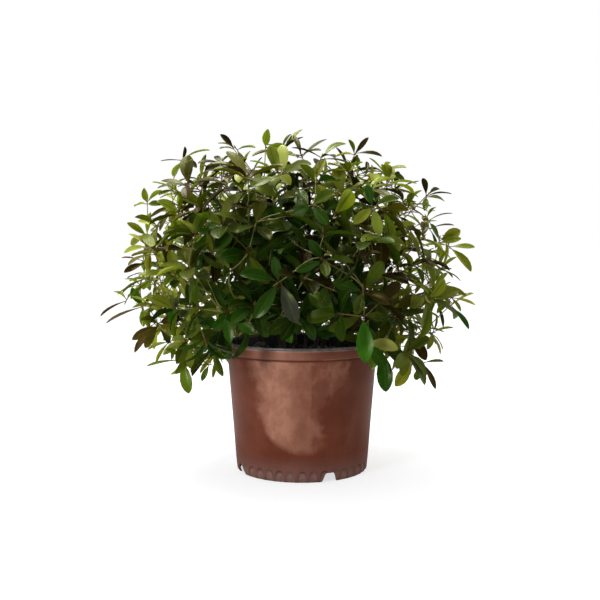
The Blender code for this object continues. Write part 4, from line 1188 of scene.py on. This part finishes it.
def pot_piece(brown, black):
    """The pot: its profile turned about the axis, each ring drawn in by the scallops, with the floor and its
    underside closed at the axis, then the arches cut through the foot ring and a slot behind each."""
    rows = pot_profile()
    z, radius, share, _ = np.array(rows).T
    turn = np.arange(POT_SIDES) * math.tau / POT_SIDES
    under_z = np.array([FLOOR_UNDERSIDE, 0.008, 0.0])
    under_radius = wall_radius(under_z) - WALL - np.array([0, 0, FOOT_ROUND])
    all_z = np.concatenate([z, under_z])[:, None]
    all_radius = np.concatenate([radius, under_radius])[:, None]
    dent = np.concatenate([share, [0.5, 1.0, 0.5]])[:, None] * scallop(turn, all_z)
    around = all_radius - dent
    rings = np.stack([around * np.cos(turn), around * np.sin(turn), all_z + 0 * turn], axis=-1)
    poles = np.array([[0, 0, z[-1]], [0, 0, FLOOR_UNDERSIDE]])
    points = np.concatenate([rings.reshape(-1, 3), poles])
    upper = ring_quads(len(rows), POT_SIDES)
    lower = ring_quads(3, POT_SIDES) + len(rows) * POT_SIDES
    ring = np.arange(POT_SIDES)
    after = np.roll(ring, -1)
    last, first_under, last_under = [(n * POT_SIDES) for n in (len(rows) - 1, len(rows), len(rows) + 2)]
    top = np.stack([last + ring, last + after, np.full(POT_SIDES, len(points) - 2)], axis=-1)
    under = np.stack([first_under + after, first_under + ring, np.full(POT_SIDES, len(points) - 1)], axis=-1)
    foot = np.stack([last_under + ring, last_under + after, after, ring], axis=-1)
    faces = [*upper.tolist(), *lower.tolist(), *top.tolist(), *under.tolist(), *foot.tolist()]
    pot = skin("nursery_pot", points, faces)
    shell = [row[3] for row in rows[1:]]
    index = np.repeat(shell, POT_SIDES).tolist() + [1] * (len(faces) - len(upper))
    index[-POT_SIDES:] = [0] * POT_SIDES
    pot.data.materials.append(brown)
    pot.data.materials.append(black)
    pot.data.polygons.foreach_set("material_index", index)
    cut_drains(pot)
    pot.data.set_sharp_from_angle(angle=math.radians(POT_CREASE_DEG))
    finish_piece(pot, [], "pot_plastic", "pot")


def prism(outline, near, far, turn):
    """A prism that runs outwards from the pot's axis: an outline of (along the wall, up) points between two
    distances from the axis, turned to face one way."""
    out = np.array([math.cos(turn), math.sin(turn), 0])
    along = np.array([-math.sin(turn), math.cos(turn), 0])
    points = [out * r + along * x + UP * z for r in (near, far) for x, z in outline]
    return np.array(points), closed_faces(2, len(outline))


def cut_drains(pot):
    """Cuts the drain arches and the slots behind them with one Boolean, which is applied."""
    cutters = bpy.data.collections.new("cutters")
    arch = ARCH_HALF + [(-x, z) for x, z in reversed(ARCH_HALF)]
    low, high = SLOT_HEIGHTS
    slot = [(x * SLOT_HALF_WIDTH, z) for x, z in ((1, low), (1, high), (-1, high), (-1, low))]
    for k in range(ARCHES):
        turn = ARCH_PHASE + math.tau * k / ARCHES
        for outline, reach in ((arch, ARCH_REACH), (slot, SLOT_REACH)):
            cutter = skin("cutter", *prism(outline, *reach, turn))
            bpy.context.scene.collection.objects.unlink(cutter)
            cutters.objects.link(cutter)
    boolean = pot.modifiers.new("drains", "BOOLEAN")
    boolean.operation = "DIFFERENCE"
    boolean.operand_type = "COLLECTION"
    boolean.collection = cutters
    boolean.solver = "EXACT"
    boolean.material_mode = "INDEX"
    graph = bpy.context.evaluated_depsgraph_get()
    cut = bpy.data.meshes.new_from_object(pot.evaluated_get(graph))
    pot.modifiers.remove(boolean)
    pot.data = cut
    for cutter in list(cutters.objects):
        bpy.data.objects.remove(cutter, do_unlink=True)
    bpy.data.collections.remove(cutters)


def mix_height(x, y, lumps):
    """The height of the mix: many small round lumps added up, each a bell curve about its own middle, then
    held within MIX_LUMP of MIX_TOP."""
    away = (x[..., None] - lumps[:, 0]) ** 2 + (y[..., None] - lumps[:, 1]) ** 2
    raised = (lumps[:, 2] * np.exp(-away / lumps[:, 3] ** 2)).sum(-1)
    return MIX_TOP + MIX_LUMP * np.tanh(raised / MIX_LUMP)


def mix_lumps():
    """Each lump's place, its rise and its radius."""
    rng = np.random.default_rng(LUMP_SEED)
    place = rng.uniform(-LUMP_REACH, LUMP_REACH, (LUMPS, 2))
    return np.column_stack([place, rng.normal(0, LUMP_RISE, LUMPS), rng.uniform(*LUMP_RADII, LUMPS)])


def mix_piece(bark):
    """The potting mix as one closed skin: its floor, its side, and a lumpy top on rings round the axis."""
    turn = np.arange(MIX_SIDES) * math.tau / MIX_SIDES
    rim = wall_radius(MIX_TOP) - WALL - GAP
    radius = rim * np.linspace(1, 0, MIX_RINGS + 1)[:-1]
    x, y = radius[:, None] * np.cos(turn), radius[:, None] * np.sin(turn)
    lumps = mix_lumps()
    top = np.stack([x, y, mix_height(x, y, lumps)], axis=-1)
    floor = FLOOR_UNDERSIDE + FLOOR_THICKNESS + GAP
    foot = wall_radius(floor) - WALL - GAP
    low = np.stack([foot * np.cos(turn), foot * np.sin(turn), np.full(MIX_SIDES, floor)], axis=-1)
    middle = np.array([0.0, 0.0, mix_height(np.zeros(1), np.zeros(1), lumps)[0]])
    points, faces = capped_tubes(np.concatenate([low[None], top])[None], middle[None])
    finish_piece(skin("potting_mix_top", points, faces), [bark], "bark_mix", "potting_mix")


def chips_piece(bark):
    """Bark chips strewn over the mix: each a flat, jagged slab of two rings of six points, turned and tilted
    its own way. The first is a pale flake that leans against the wall at the back."""
    rng = np.random.default_rng(CHIP_SEED)
    away = (wall_radius(MIX_TOP) - WALL - CHIP_TO_WALL) * np.sqrt(rng.uniform(0, 1, CHIPS))
    turn = rng.uniform(0, math.tau, CHIPS)
    place = np.stack([away * np.cos(turn), away * np.sin(turn)])
    length = rng.uniform(*CHIP_LENGTHS, CHIPS) * 0.5
    breadth = length * rng.uniform(*CHIP_BREADTHS, CHIPS)
    depth = rng.uniform(*CHIP_DEPTHS, CHIPS)
    heading = rng.uniform(0, math.tau, CHIPS)
    tilt = rng.normal(0, CHIP_TILT, CHIPS)
    roll = rng.normal(0, CHIP_ROLL, CHIPS)
    shade = rng.uniform(*CHIP_SHADES, CHIPS)
    raised = np.zeros(CHIPS)
    length[0], breadth[0], depth[0] = PALE_FLAKE_SIZE
    place[:, 0], heading[0], raised[0] = PALE_FLAKE_PLACE, PALE_FLAKE_HEADING, PALE_FLAKE_RAISED
    tilt[0], roll[0], shade[0] = PALE_FLAKE_TILT, -math.pi / 2, PALE_FLAKE_SHADE
    ground = mix_height(*place, mix_lumps()) + depth + CHIP_LIFT * MIX_LUMP + raised
    around = np.arange(CHIP_SIDES) * math.tau / CHIP_SIDES
    jag = rng.uniform(*CHIP_JAG, (CHIPS, 2, CHIP_SIDES))
    each = [one[:, None, None] for one in (*place, ground, length, breadth, depth, heading, tilt, roll)]
    middle_x, middle_y, middle_z, length, breadth, depth, heading, tilt, roll = each
    along, across = length * np.cos(around) * jag, breadth * np.sin(around) * jag
    above = depth * np.array([[-1.0], [1.0]]) + np.sin(tilt) * along + np.sin(roll) * across
    ring_x = middle_x + np.cos(heading) * along - np.sin(heading) * across
    ring_y = middle_y + np.sin(heading) * along + np.cos(heading) * across
    rings = np.stack([ring_x, ring_y, middle_z + above], axis=-1)
    points, faces = capped_tubes(rings, rings[:, 1].mean(1) + UP * GAP)
    piece = skin("bark_chips", points, faces, CHIP_CREASE_DEG)
    add_values(piece, "shade", np.repeat(shade, points.shape[0] // CHIPS))
    finish_piece(piece, [bark], "bark_mix")


class Nodes:
    """Short calls for building a node tree."""

    def __init__(self, tree):
        self.tree = tree

    def add(self, kind, **settings):
        node = self.tree.nodes.new(kind)
        for name, value in settings.items():
            setattr(node, name, value)
        return node

    def join(self, source, target):
        self.tree.links.new(source, target)

    def dress(self, node, **sources):
        """Links what changes over the surface to a node's sockets, each named with _ for a space."""
        for name, source in sources.items():
            self.join(source, node.inputs[name.replace("_", " ")])

    def feed(self, socket, value):
        """Sets a socket to a number or a colour, or links another socket to it."""
        if isinstance(value, bpy.types.NodeSocket):
            self.join(value, socket)
        elif isinstance(value, (tuple, list)) and len(value) == 3 and socket.type == "RGBA":
            socket.default_value = (*value, 1.0)
        else:
            socket.default_value = value

    def math(self, operation, *values):
        node = self.add("ShaderNodeMath", operation=operation)
        for socket, value in zip(node.inputs, values):
            self.feed(socket, value)
        return node.outputs[0]

    def times(self, *values):
        return reduce(lambda one, other: self.math("MULTIPLY", one, other), values)

    def plus(self, *values):
        return reduce(lambda one, other: self.math("ADD", one, other), values)

    def blend(self, share, first, second, mode="MIX"):
        node = self.add("ShaderNodeMix", data_type="RGBA", blend_type=mode)
        self.feed(node.inputs["Factor"], share)
        self.feed(node.inputs["A"], first)
        self.feed(node.inputs["B"], second)
        return node.outputs["Result"]

    def layers(self, colour, *over):
        """A colour with others laid over it in turn, each by its own share."""
        for share, other in over:
            colour = self.blend(share, colour, other)
        return colour

    def spread(self, value, low, high, to_low=0.0, to_high=1.0, curve="SMOOTHSTEP"):
        """Maps a value from low..high to to_low..to_high, and holds it there outside."""
        node = self.add("ShaderNodeMapRange", interpolation_type=curve)
        for socket, number in zip(node.inputs, (value, low, high, to_low, to_high)):
            self.feed(socket, number)
        return node.outputs[0]

    def between(self, value, low, full, fade, high):
        """1 where a value lies from full to fade, and 0 below low and above high."""
        return self.times(self.spread(value, low, full), self.spread(value, high, fade))

    def noise(self, where, scale, detail=2.0, roughness=0.5, stretch=None):
        if stretch:
            mapping = self.add("ShaderNodeMapping")
            mapping.inputs["Scale"].default_value = stretch
            self.join(where, mapping.inputs["Vector"])
            where = mapping.outputs[0]
        node = self.add("ShaderNodeTexNoise")
        node.inputs["Scale"].default_value = scale
        node.inputs["Detail"].default_value = detail
        node.inputs["Roughness"].default_value = roughness
        self.join(where, node.inputs["Vector"])
        return node.outputs["Fac"]

    def shaded(self, colour, value):
        """A colour times a value."""
        grey = self.add("ShaderNodeCombineColor")
        for socket in grey.inputs:
            self.join(value, socket)
        return self.blend(1.0, colour, grey.outputs[0], "MULTIPLY")

    def split(self, vector):
        """The x, y and z of a vector."""
        node = self.add("ShaderNodeSeparateXYZ")
        self.join(vector, node.inputs[0])
        return node.outputs

    def value_of(self, name):
        return self.add("ShaderNodeAttribute", attribute_name=name).outputs["Fac"]

    def colour_of(self, name):
        return self.add("ShaderNodeAttribute", attribute_name=name).outputs["Color"]

    def object_place(self):
        return self.add("ShaderNodeTexCoord").outputs["Object"]

    def bump(self, height, distance, strength=1.0):
        node = self.add("ShaderNodeBump")
        node.inputs["Distance"].default_value = distance
        node.inputs["Strength"].default_value = strength
        self.join(height, node.inputs["Height"])
        return node.outputs["Normal"]

    def put_out(self, values):
        """Gives this node group one output for each named value, and hands the group over."""
        for name in values:
            self.tree.interface.new_socket(name, in_out="OUTPUT", socket_type="NodeSocketFloat")
        end = self.add("NodeGroupOutput")
        for name, value in values.items():
            self.join(value, end.inputs[name])
        return self.tree


def new_material(name, **uniform):
    """A material with one Principled shader, the values that are the same all over set on its sockets."""
    made = bpy.data.materials.new(name)
    made.use_nodes = True
    shader = made.node_tree.nodes["Principled BSDF"]
    for socket, value in uniform.items():
        shader.inputs[socket.replace("_", " ")].default_value = value
    return made, Nodes(made.node_tree), shader


def leaf_marks_group():
    """Node group: where a leaf's midrib, side veins, margin and petiole lie, from its UV map. U runs from the
    petiole to the tip and V across. Distance from the rib is |2 v - 1|. The side veins are waves of u less
    that distance, so they run outwards and forwards."""
    nodes = Nodes(bpy.data.node_groups.new("leaf_marks", "ShaderNodeTree"))
    u, v, _ = nodes.split(nodes.add("ShaderNodeUVMap", uv_map="leaf").outputs[0])
    away = nodes.math("ABSOLUTE", nodes.math("MULTIPLY_ADD", v, 2.0, -1.0))
    wave = nodes.math("SINE", nodes.times(nodes.math("MULTIPLY_ADD", away, -0.16, u), 46.0))
    return nodes.put_out({
        "Rib": nodes.spread(away, 0.05, 0.16, 1.0, 0.0),
        "Veins": nodes.times(nodes.spread(wave, 0.80, 1.0), nodes.spread(away, 0.75, 0.15, 0.2, 1.0)),
        "Margin": nodes.spread(away, 0.86, 1.0),
        "Petiole": nodes.spread(u, PETIOLE_SHARE, PETIOLE_SHARE + 0.07, 1.0, 0.0),
    })


def leaf_material():
    """Leathery leaf: its own tone, with a paler rib and margin, faint veins, a red-brown petiole and a dull,
    pale underside. The greenest are the glossiest. Part of the light goes through the blade, tinted
    yellow-green and held below a bright lime."""
    made, nodes, shader = new_material("cleyera_leaf", Coat_Roughness=0.24, Specular_IOR_Level=0.20,
                                       Specular_Tint=(0.88, 1.0, 0.30, 1.0))
    marks = nodes.add("ShaderNodeGroup", node_tree=leaf_marks_group()).outputs
    rib, veins = marks["Rib"], marks["Veins"]
    tone, place = nodes.colour_of("tone"), nodes.object_place()
    mottle = nodes.spread(nodes.noise(place, 38.0, 3.0), 0.30, 0.70, 0.80, 1.18, "LINEAR")
    pale = nodes.blend(0.5, tone, (0.25, 0.29, 0.055))
    above = nodes.layers(nodes.shaded(tone, mottle), (nodes.times(veins, 0.10), pale),
                         (nodes.times(rib, 0.30), pale), (nodes.times(marks["Margin"], 0.30), pale))
    under = nodes.spread(nodes.value_of("upper"), 0.49, 0.40)
    below = nodes.layers(tone, (0.12, (0.110, 0.145, 0.030)), (nodes.times(rib, 0.50), (0.020, 0.028, 0.012)))
    colour = nodes.layers(above, (under, below), (marks["Petiole"], (0.135, 0.060, 0.022)))
    tints = nodes.add("ShaderNodeSeparateColor")
    nodes.join(tone, tints.inputs[0])
    greener = nodes.math("SUBTRACT", tints.outputs[1], tints.outputs[0])
    rough = nodes.spread(nodes.noise(place, 55.0, 2.0), 0.3, 0.7, 0.20, 0.36, "LINEAR")
    height = nodes.math("SUBTRACT", nodes.times(rib, -1.0), nodes.times(veins, 0.12))
    nodes.dress(shader, Base_Color=colour, Coat_Weight=nodes.spread(greener, 0.025, 0.070, 0.0, 0.30),
                Roughness=nodes.spread(under, 0.0, 1.0, rough, 0.58, "LINEAR"),
                Normal=nodes.bump(height, 0.0004, 0.6))
    glow = nodes.add("ShaderNodeBsdfTranslucent")
    lit = nodes.blend(1.0, colour, (1.0, 1.08, 0.60), "MULTIPLY")
    bright = nodes.blend(1.0, lit, (2.2, 2.2, 2.2), "MULTIPLY")
    nodes.dress(glow, Color=nodes.blend(1.0, bright, (0.60, 0.65, 0.27), "DARKEN"))
    both = nodes.add("ShaderNodeMixShader")
    for socket, value in zip(both.inputs, (LIGHT_THROUGH_LEAF, shader.outputs[0], glow.outputs[0])):
        nodes.feed(socket, value)
    nodes.dress(made.node_tree.nodes["Material Output"], Surface=both.outputs[0])
    return made


def twig_material():
    """Bark: tan-green on young twigs and reddish at buds, dark grey-brown on old stems, with fine cracks."""
    made, nodes, shader = new_material("cleyera_bark", Roughness=0.62)
    age, place = nodes.value_of("age"), nodes.object_place()
    grown = nodes.layers((0.130, 0.050, 0.020), (nodes.spread(age, 0.06, 0.20), (0.215, 0.200, 0.052)),
                         (nodes.spread(age, 0.52, 0.95), (0.082, 0.062, 0.048)))
    speck = nodes.spread(nodes.noise(place, 260.0, 4.0, 0.6, (1, 1, 0.3)), 0.35, 0.70, 0.65, 1.30, "LINEAR")
    nodes.dress(shader, Base_Color=nodes.shaded(grown, speck), Normal=nodes.bump(speck, 0.0004, 0.7))
    return made


def pot_places_group():
    """Node group: places on the pot by height z and by the turn round it from the front, from Object
    coordinates centred on the pot. The first output is a painted highlight, broken into blotches by dust, on
    a broad upright patch left of the front: its left edge leans in downwards, it fades to the right up to a
    sharp edge, and its foot is a parabola. The second is a fainter painted highlight in blotches; it lies
    right of the first, and is wider near the rim. Dimple follows the outline of each scallop, as its own
    function gives it, and carries painted shade; Inside Dimple is the middle of each scallop and carries a
    painted highlight. Foot, Rim, Groove, Ledge and Edge are bands of z, and so is Band, which is strongest
    left of the front. Groove carries painted shade under the band, Ledge and Edge carry painted highlights on
    the band's foot and top edge, and Band carries a painted sheen."""
    nodes = Nodes(bpy.data.node_groups.new("pot_places", "ShaderNodeTree"))
    centred = nodes.add("ShaderNodeMapping")
    centred.inputs["Location"].default_value = (-POT_AXIS).tolist()
    nodes.join(nodes.object_place(), centred.inputs["Vector"])
    place = centred.outputs[0]
    x, y, z = nodes.split(place)
    turn = nodes.math("ARCTAN2", y, x)
    azimuth = nodes.math("ARCTAN2", x, nodes.times(y, -1.0))
    wander = nodes.math("MULTIPLY_ADD", nodes.noise(place, 26.0, 4.0, 0.6), 0.44, -0.22)
    wavy = nodes.plus(azimuth, wander)
    lean = nodes.spread(z, 0.210, 0.060, -0.74, -0.58, "LINEAR")
    left = nodes.spread(nodes.math("SUBTRACT", wavy, lean), -0.06, 0.26)
    right = nodes.spread(nodes.math("MULTIPLY_ADD", wander, 0.12, azimuth), 0.150, 0.105)
    dish = nodes.times(azimuth, azimuth, -0.12)
    low = nodes.spread(nodes.plus(nodes.math("MULTIPLY_ADD", wander, 0.05, z), dish), 0.046, 0.064)
    high = nodes.spread(z, 0.2178, 0.2135)
    core = nodes.spread(nodes.math("MULTIPLY_ADD", wander, 0.4, azimuth), -0.32, 0.02, 1.0, 0.48)
    reach = nodes.spread(z, 0.150, 0.185, 0.36, 0.70)
    beyond = nodes.spread(nodes.math("SUBTRACT", wavy, reach), 0.0, -0.14)
    share = nodes.math("FRACT", nodes.times(turn, SCALLOPS / math.tau))
    across = nodes.math("ABSOLUTE", nodes.math("MULTIPLY_ADD", share, 2.0, -1.0))
    across = nodes.math("POWER", nodes.math("DIVIDE", across, SCALLOP_BREADTH), SCALLOP_POWER)
    upward = nodes.math("MAXIMUM", nodes.math("DIVIDE", z, SCALLOP_TOP), 0.0)
    upward = nodes.math("POWER", upward, SCALLOP_POWER)
    inside = nodes.math("SUBTRACT", 1.0, nodes.plus(across, upward))
    aside = nodes.math("ABSOLUTE", nodes.plus(azimuth, 0.30))
    return nodes.put_out({
        # A painted highlight left of the front, broken into blotches by dust, then fainter painted highlight
        # blotches right of it
        "Painted Highlight Patch": nodes.times(left, right, core, low, high),
        "Painted Highlight Blotches": nodes.times(beyond, left, low, high),
        # The outline of each scallop, for painted shade
        "Dimple": nodes.between(inside, 0.0, 0.16, 0.22, 0.55),
        # The middle of each scallop, for a painted highlight
        "Inside Dimple": nodes.spread(inside, 0.2, 0.7),
        "Foot": nodes.spread(z, 0.052, 0.006),
        "Rim": nodes.spread(z, 0.180, 0.216),
        # Painted shade in the groove under the band
        "Groove": nodes.between(z, 0.2150, 0.2172, 0.2186, 0.2196),
        # A painted sheen on the band, strongest left of the front
        "Band": nodes.times(nodes.spread(z, 0.2188, 0.2200), nodes.spread(aside, 0.56, 0.14, 0.30, 1.0)),
        # Painted highlights along the band's foot and along its top edge under the lip
        "Ledge": nodes.between(z, 0.2184, 0.2192, 0.2200, 0.2212),
        "Edge": nodes.between(z, 0.2325, 0.2338, 0.2357, 0.2362),
    })


def pot_outside_material():
    """Satin red-brown plastic: mottled by handling and streaked with dust, with fine scratches round the pot
    under its rim, and a foot that is paler and greyer towards the bottom. It also carries painted light and
    shade. Left of the front is a painted highlight, broken into blotches by dust, with fainter painted
    highlight blotches right of it. The band has a painted sheen, and painted highlights run along its top
    edge under the lip and along its foot. Each scallop has a painted highlight in its middle. Painted shade
    runs along each scallop's outline and in the groove under the band."""
    made, nodes, shader = new_material("red_brown_plastic", Specular_IOR_Level=0.14)
    places = nodes.add("ShaderNodeGroup", node_tree=pot_places_group()).outputs
    place = nodes.object_place()
    cloud = nodes.noise(place, 13.0, 5.0, 0.6)
    blotch = nodes.noise(place, 42.0, 4.0, 0.6, (1.0, 1.0, 0.75))
    streak = nodes.noise(place, 30.0, 4.0, 0.65, (1.0, 1.0, 0.16))
    scratch = nodes.noise(place, 60.0, 5.0, 0.7, (0.35, 0.35, 9.0))
    fine = nodes.noise(place, 95.0, 4.0, 0.6)
    broken = nodes.spread(nodes.noise(place, 70.0, 3.0), 0.38, 0.64, 0.05, 0.62)
    dust = nodes.times(nodes.spread(cloud, 0.50, 0.72), nodes.spread(streak, 0.42, 0.66))
    # Painted highlight left of the front, broken into blotches by dust, and fainter painted highlight
    # blotches right of it
    painted_highlight_blotches = nodes.times(places["Painted Highlight Blotches"], nodes.spread(blotch, 0.40, 0.62, 0.16, 0.46))
    patch = nodes.times(places["Painted Highlight Patch"], nodes.spread(blotch, 0.36, 0.60, 0.62, 1.0))
    # Painted sheen on the band, strongest left of the front
    band = nodes.times(places["Band"], nodes.spread(blotch, 0.30, 0.65, 0.50, 0.78))
    scuff = nodes.times(nodes.spread(scratch, 0.64, 0.72), places["Rim"], 0.6)
    # A painted highlight in the middle of each scallop
    painted_scallop_highlight = nodes.times(places["Inside Dimple"], nodes.spread(fine, 0.35, 0.65, 0.10, 0.60))
    # Painted shade along the outline of each scallop and in the groove under the band
    painted_shade = nodes.math("MAXIMUM", nodes.times(places["Dimple"], broken), nodes.times(places["Groove"], 0.38))
    # Painted highlights along the band's top edge under the lip and along its foot
    edge = nodes.times(places["Edge"], nodes.spread(blotch, 0.30, 0.60, 0.25, 0.85))
    painted_ledge_highlight = nodes.times(places["Ledge"], nodes.spread(cloud, 0.48, 0.60, 0.06, 0.60))
    colour = nodes.layers(
        (0.172, 0.043, 0.022),
        (nodes.spread(cloud, 0.35, 0.65), (0.215, 0.059, 0.033)),
        # Paler and greyer towards the foot
        (nodes.times(places["Foot"], 0.62), (0.310, 0.172, 0.157)),
        (nodes.times(dust, 0.22), (0.380, 0.200, 0.150)),
        (nodes.math("MAXIMUM", painted_highlight_blotches, patch), (0.560, 0.262, 0.178)),
        (band, (0.490, 0.228, 0.160)),
        (scuff, (0.460, 0.290, 0.225)),
        (painted_scallop_highlight, (0.360, 0.235, 0.210)),
        (painted_shade, (0.045, 0.024, 0.019)),
        (nodes.math("MAXIMUM", edge, painted_ledge_highlight), (0.500, 0.310, 0.225)),
    )
    rough = nodes.plus(nodes.spread(cloud, 0.3, 0.7, 0.32, 0.42, "LINEAR"), nodes.times(dust, 0.15))
    grain = nodes.bump(nodes.plus(streak, cloud), 0.0006, 0.35)
    nodes.dress(shader, Base_Color=colour, Roughness=rough, Normal=grain)
    return made


def pot_inside_material():
    """Glossy black plastic, greyed by dust, of the lip and the inside. The lip is a paler grey, which is a
    painted sheen.
    """
    made, nodes, shader = new_material("black_plastic")
    cloud = nodes.noise(nodes.object_place(), 26.0, 4.0, 0.6)
    # Painted sheen: the lip is a paler grey than the rest
    lip = nodes.spread(nodes.split(nodes.object_place())[2], 0.2346, 0.2366)
    black = nodes.blend(nodes.spread(cloud, 0.40, 0.75), (0.010, 0.010, 0.011), (0.042, 0.042, 0.046))
    grey = nodes.blend(nodes.spread(cloud, 0.35, 0.70), (0.105, 0.102, 0.110), (0.240, 0.232, 0.246))
    nodes.dress(shader, Base_Color=nodes.blend(lip, black, grey),
                Roughness=nodes.spread(cloud, 0.3, 0.7, 0.20, 0.36, "LINEAR"))
    return made


def mix_material():
    """Damp bark compost: dark brown to black crumbs, with a few tan flecks."""
    made, nodes, shader = new_material("bark_compost", Roughness=0.92)
    place = nodes.object_place()
    crumb, patch = nodes.noise(place, 240.0, 5.0, 0.7), nodes.noise(place, 55.0, 3.0)
    fleck = nodes.times(nodes.spread(crumb, 0.66, 0.72), nodes.spread(patch, 0.50, 0.60))
    colour = nodes.layers((0.018, 0.012, 0.008), (nodes.spread(crumb, 0.35, 0.65), (0.100, 0.062, 0.038)),
                          (fleck, (0.150, 0.092, 0.050)))
    nodes.dress(shader, Base_Color=colour, Normal=nodes.bump(crumb, 0.0020))
    return made


def chip_material():
    """Bark chips: brown with grain along them, each chip lighter or darker by its own shade."""
    made, nodes, shader = new_material("bark_chip", Roughness=0.85)
    grain = nodes.noise(nodes.object_place(), 180.0, 4.0, 0.65)
    shade = nodes.value_of("shade")
    brown = nodes.blend(nodes.spread(grain, 0.35, 0.70), (0.030, 0.018, 0.012), (0.150, 0.092, 0.056))
    colour = nodes.blend(nodes.spread(shade, 1.5, 3.0), nodes.shaded(brown, shade), (0.85, 0.84, 0.80))
    nodes.dress(shader, Base_Color=colour, Normal=nodes.bump(grain, 0.0008))
    return made


def floor_material():
    """A near-white matt floor that glows a little, so the shade under the plant stays pale, and that throws
    back less light than it shows."""
    matt = {"Roughness": 0.95, "Specular IOR Level": 0.0, "Emission Strength": 1.0}
    made, nodes, shader = new_material("pale_floor", **matt)
    seen = nodes.add("ShaderNodeLightPath").outputs["Is Camera Ray"]
    nodes.dress(shader, Base_Color=nodes.blend(seen, (0.38, 0.38, 0.38), (0.48, 0.495, 0.545)),
                Emission_Color=nodes.blend(seen, (0.0, 0.0, 0.0), (0.68, 0.68, 0.68)))
    return made


def room():
    """A white room that is bright behind, above and beside the plant and dim in front of it. The camera sees
    it as plain white."""
    world = bpy.data.worlds.new("studio")
    world.use_nodes = True
    bpy.context.scene.world = world
    nodes = Nodes(world.node_tree)
    x, y, z = nodes.split(nodes.add("ShaderNodeTexCoord").outputs["Generated"])
    light = nodes.plus(
        nodes.spread(y, -0.50, 0.60, ROOM_FRONT, ROOM_BEHIND),
        nodes.spread(z, 0.25, 0.95, 0.0, ROOM_ABOVE),
        nodes.spread(x, -0.45, -0.95, 0.0, ROOM_LEFT),
        nodes.spread(x, 0.45, 0.95, 0.0, ROOM_RIGHT),
    )
    seen = nodes.add("ShaderNodeLightPath").outputs["Is Camera Ray"]
    nodes.dress(world.node_tree.nodes["Background"], Color=nodes.blend(seen, WARM_WHITE, (1.0, 1.0, 1.0)),
                Strength=nodes.spread(seen, 0.0, 1.0, light, 1.0, "LINEAR"))


def studio():
    """The room, its soft lights, one at the front left and one above, and a pale floor."""
    room()
    for name, place, size, power in LIGHTS:
        lamp = bpy.data.lights.new(name, "AREA")
        lamp.shape = "RECTANGLE"
        lamp.size, lamp.size_y = size
        lamp.energy = power
        light = stand(name, lamp)
        light.location = place
        light.rotation_euler = (Vector(LIT_POINT) - Vector(place)).to_track_quat("-Z", "Y").to_euler()
        light.visible_camera = False
    mesh = bpy.data.meshes.new("floor")
    half = FLOOR_SIZE / 2
    corners = [(-half, -half, 0), (half, -half, 0), (half, half, 0), (-half, half, 0)]
    mesh.from_pydata(corners, [], [(0, 1, 2, 3)])
    mesh.materials.append(floor_material())
    stand("floor", mesh)


def camera():
    """The photo's view: an upright camera that looks a little down along +Y."""
    lens = bpy.data.cameras.new("camera")
    lens.lens = CAMERA_LENS
    lens.sensor_width = 36
    lens.clip_end = 100
    eye = stand("camera", lens)
    eye.location = CAMERA_PLACE
    eye.rotation_euler = (math.radians(90 - CAMERA_DOWN_DEG), 0, 0)
    bpy.context.scene.camera = eye
    bpy.context.scene.view_settings.view_transform = "Standard"


def build():
    tree, foliage = grow_packed_shoots()
    fill_crown(tree, foliage)
    tones = leaf_tones(foliage)
    leaf, bark = leaf_material(), twig_material()
    for k in range(len(STEM_FEET)):
        mine = [n for n, one in enumerate(foliage.leaves) if tree.stem[one.site] == k]
        leaves = leaves_piece(f"leaves_{k + 1}", foliage, [foliage.leaves[n] for n in mine], tones[mine])
        finish_piece(leaves, [leaf], "leaf_green", f"leafy_stem_{k + 1}")
        sites = [i for i in foliage.heads if tree.stem[i] == k]
        twigs = twigs_piece(f"stem_and_twigs_{k + 1}", foliage, sites, k)
        finish_piece(twigs, [bark], "leaf_green", f"leafy_stem_{k + 1}")
    pot_piece(pot_outside_material(), pot_inside_material())
    mix_piece(mix_material())
    chips_piece(chip_material())


build()
studio()
camera()
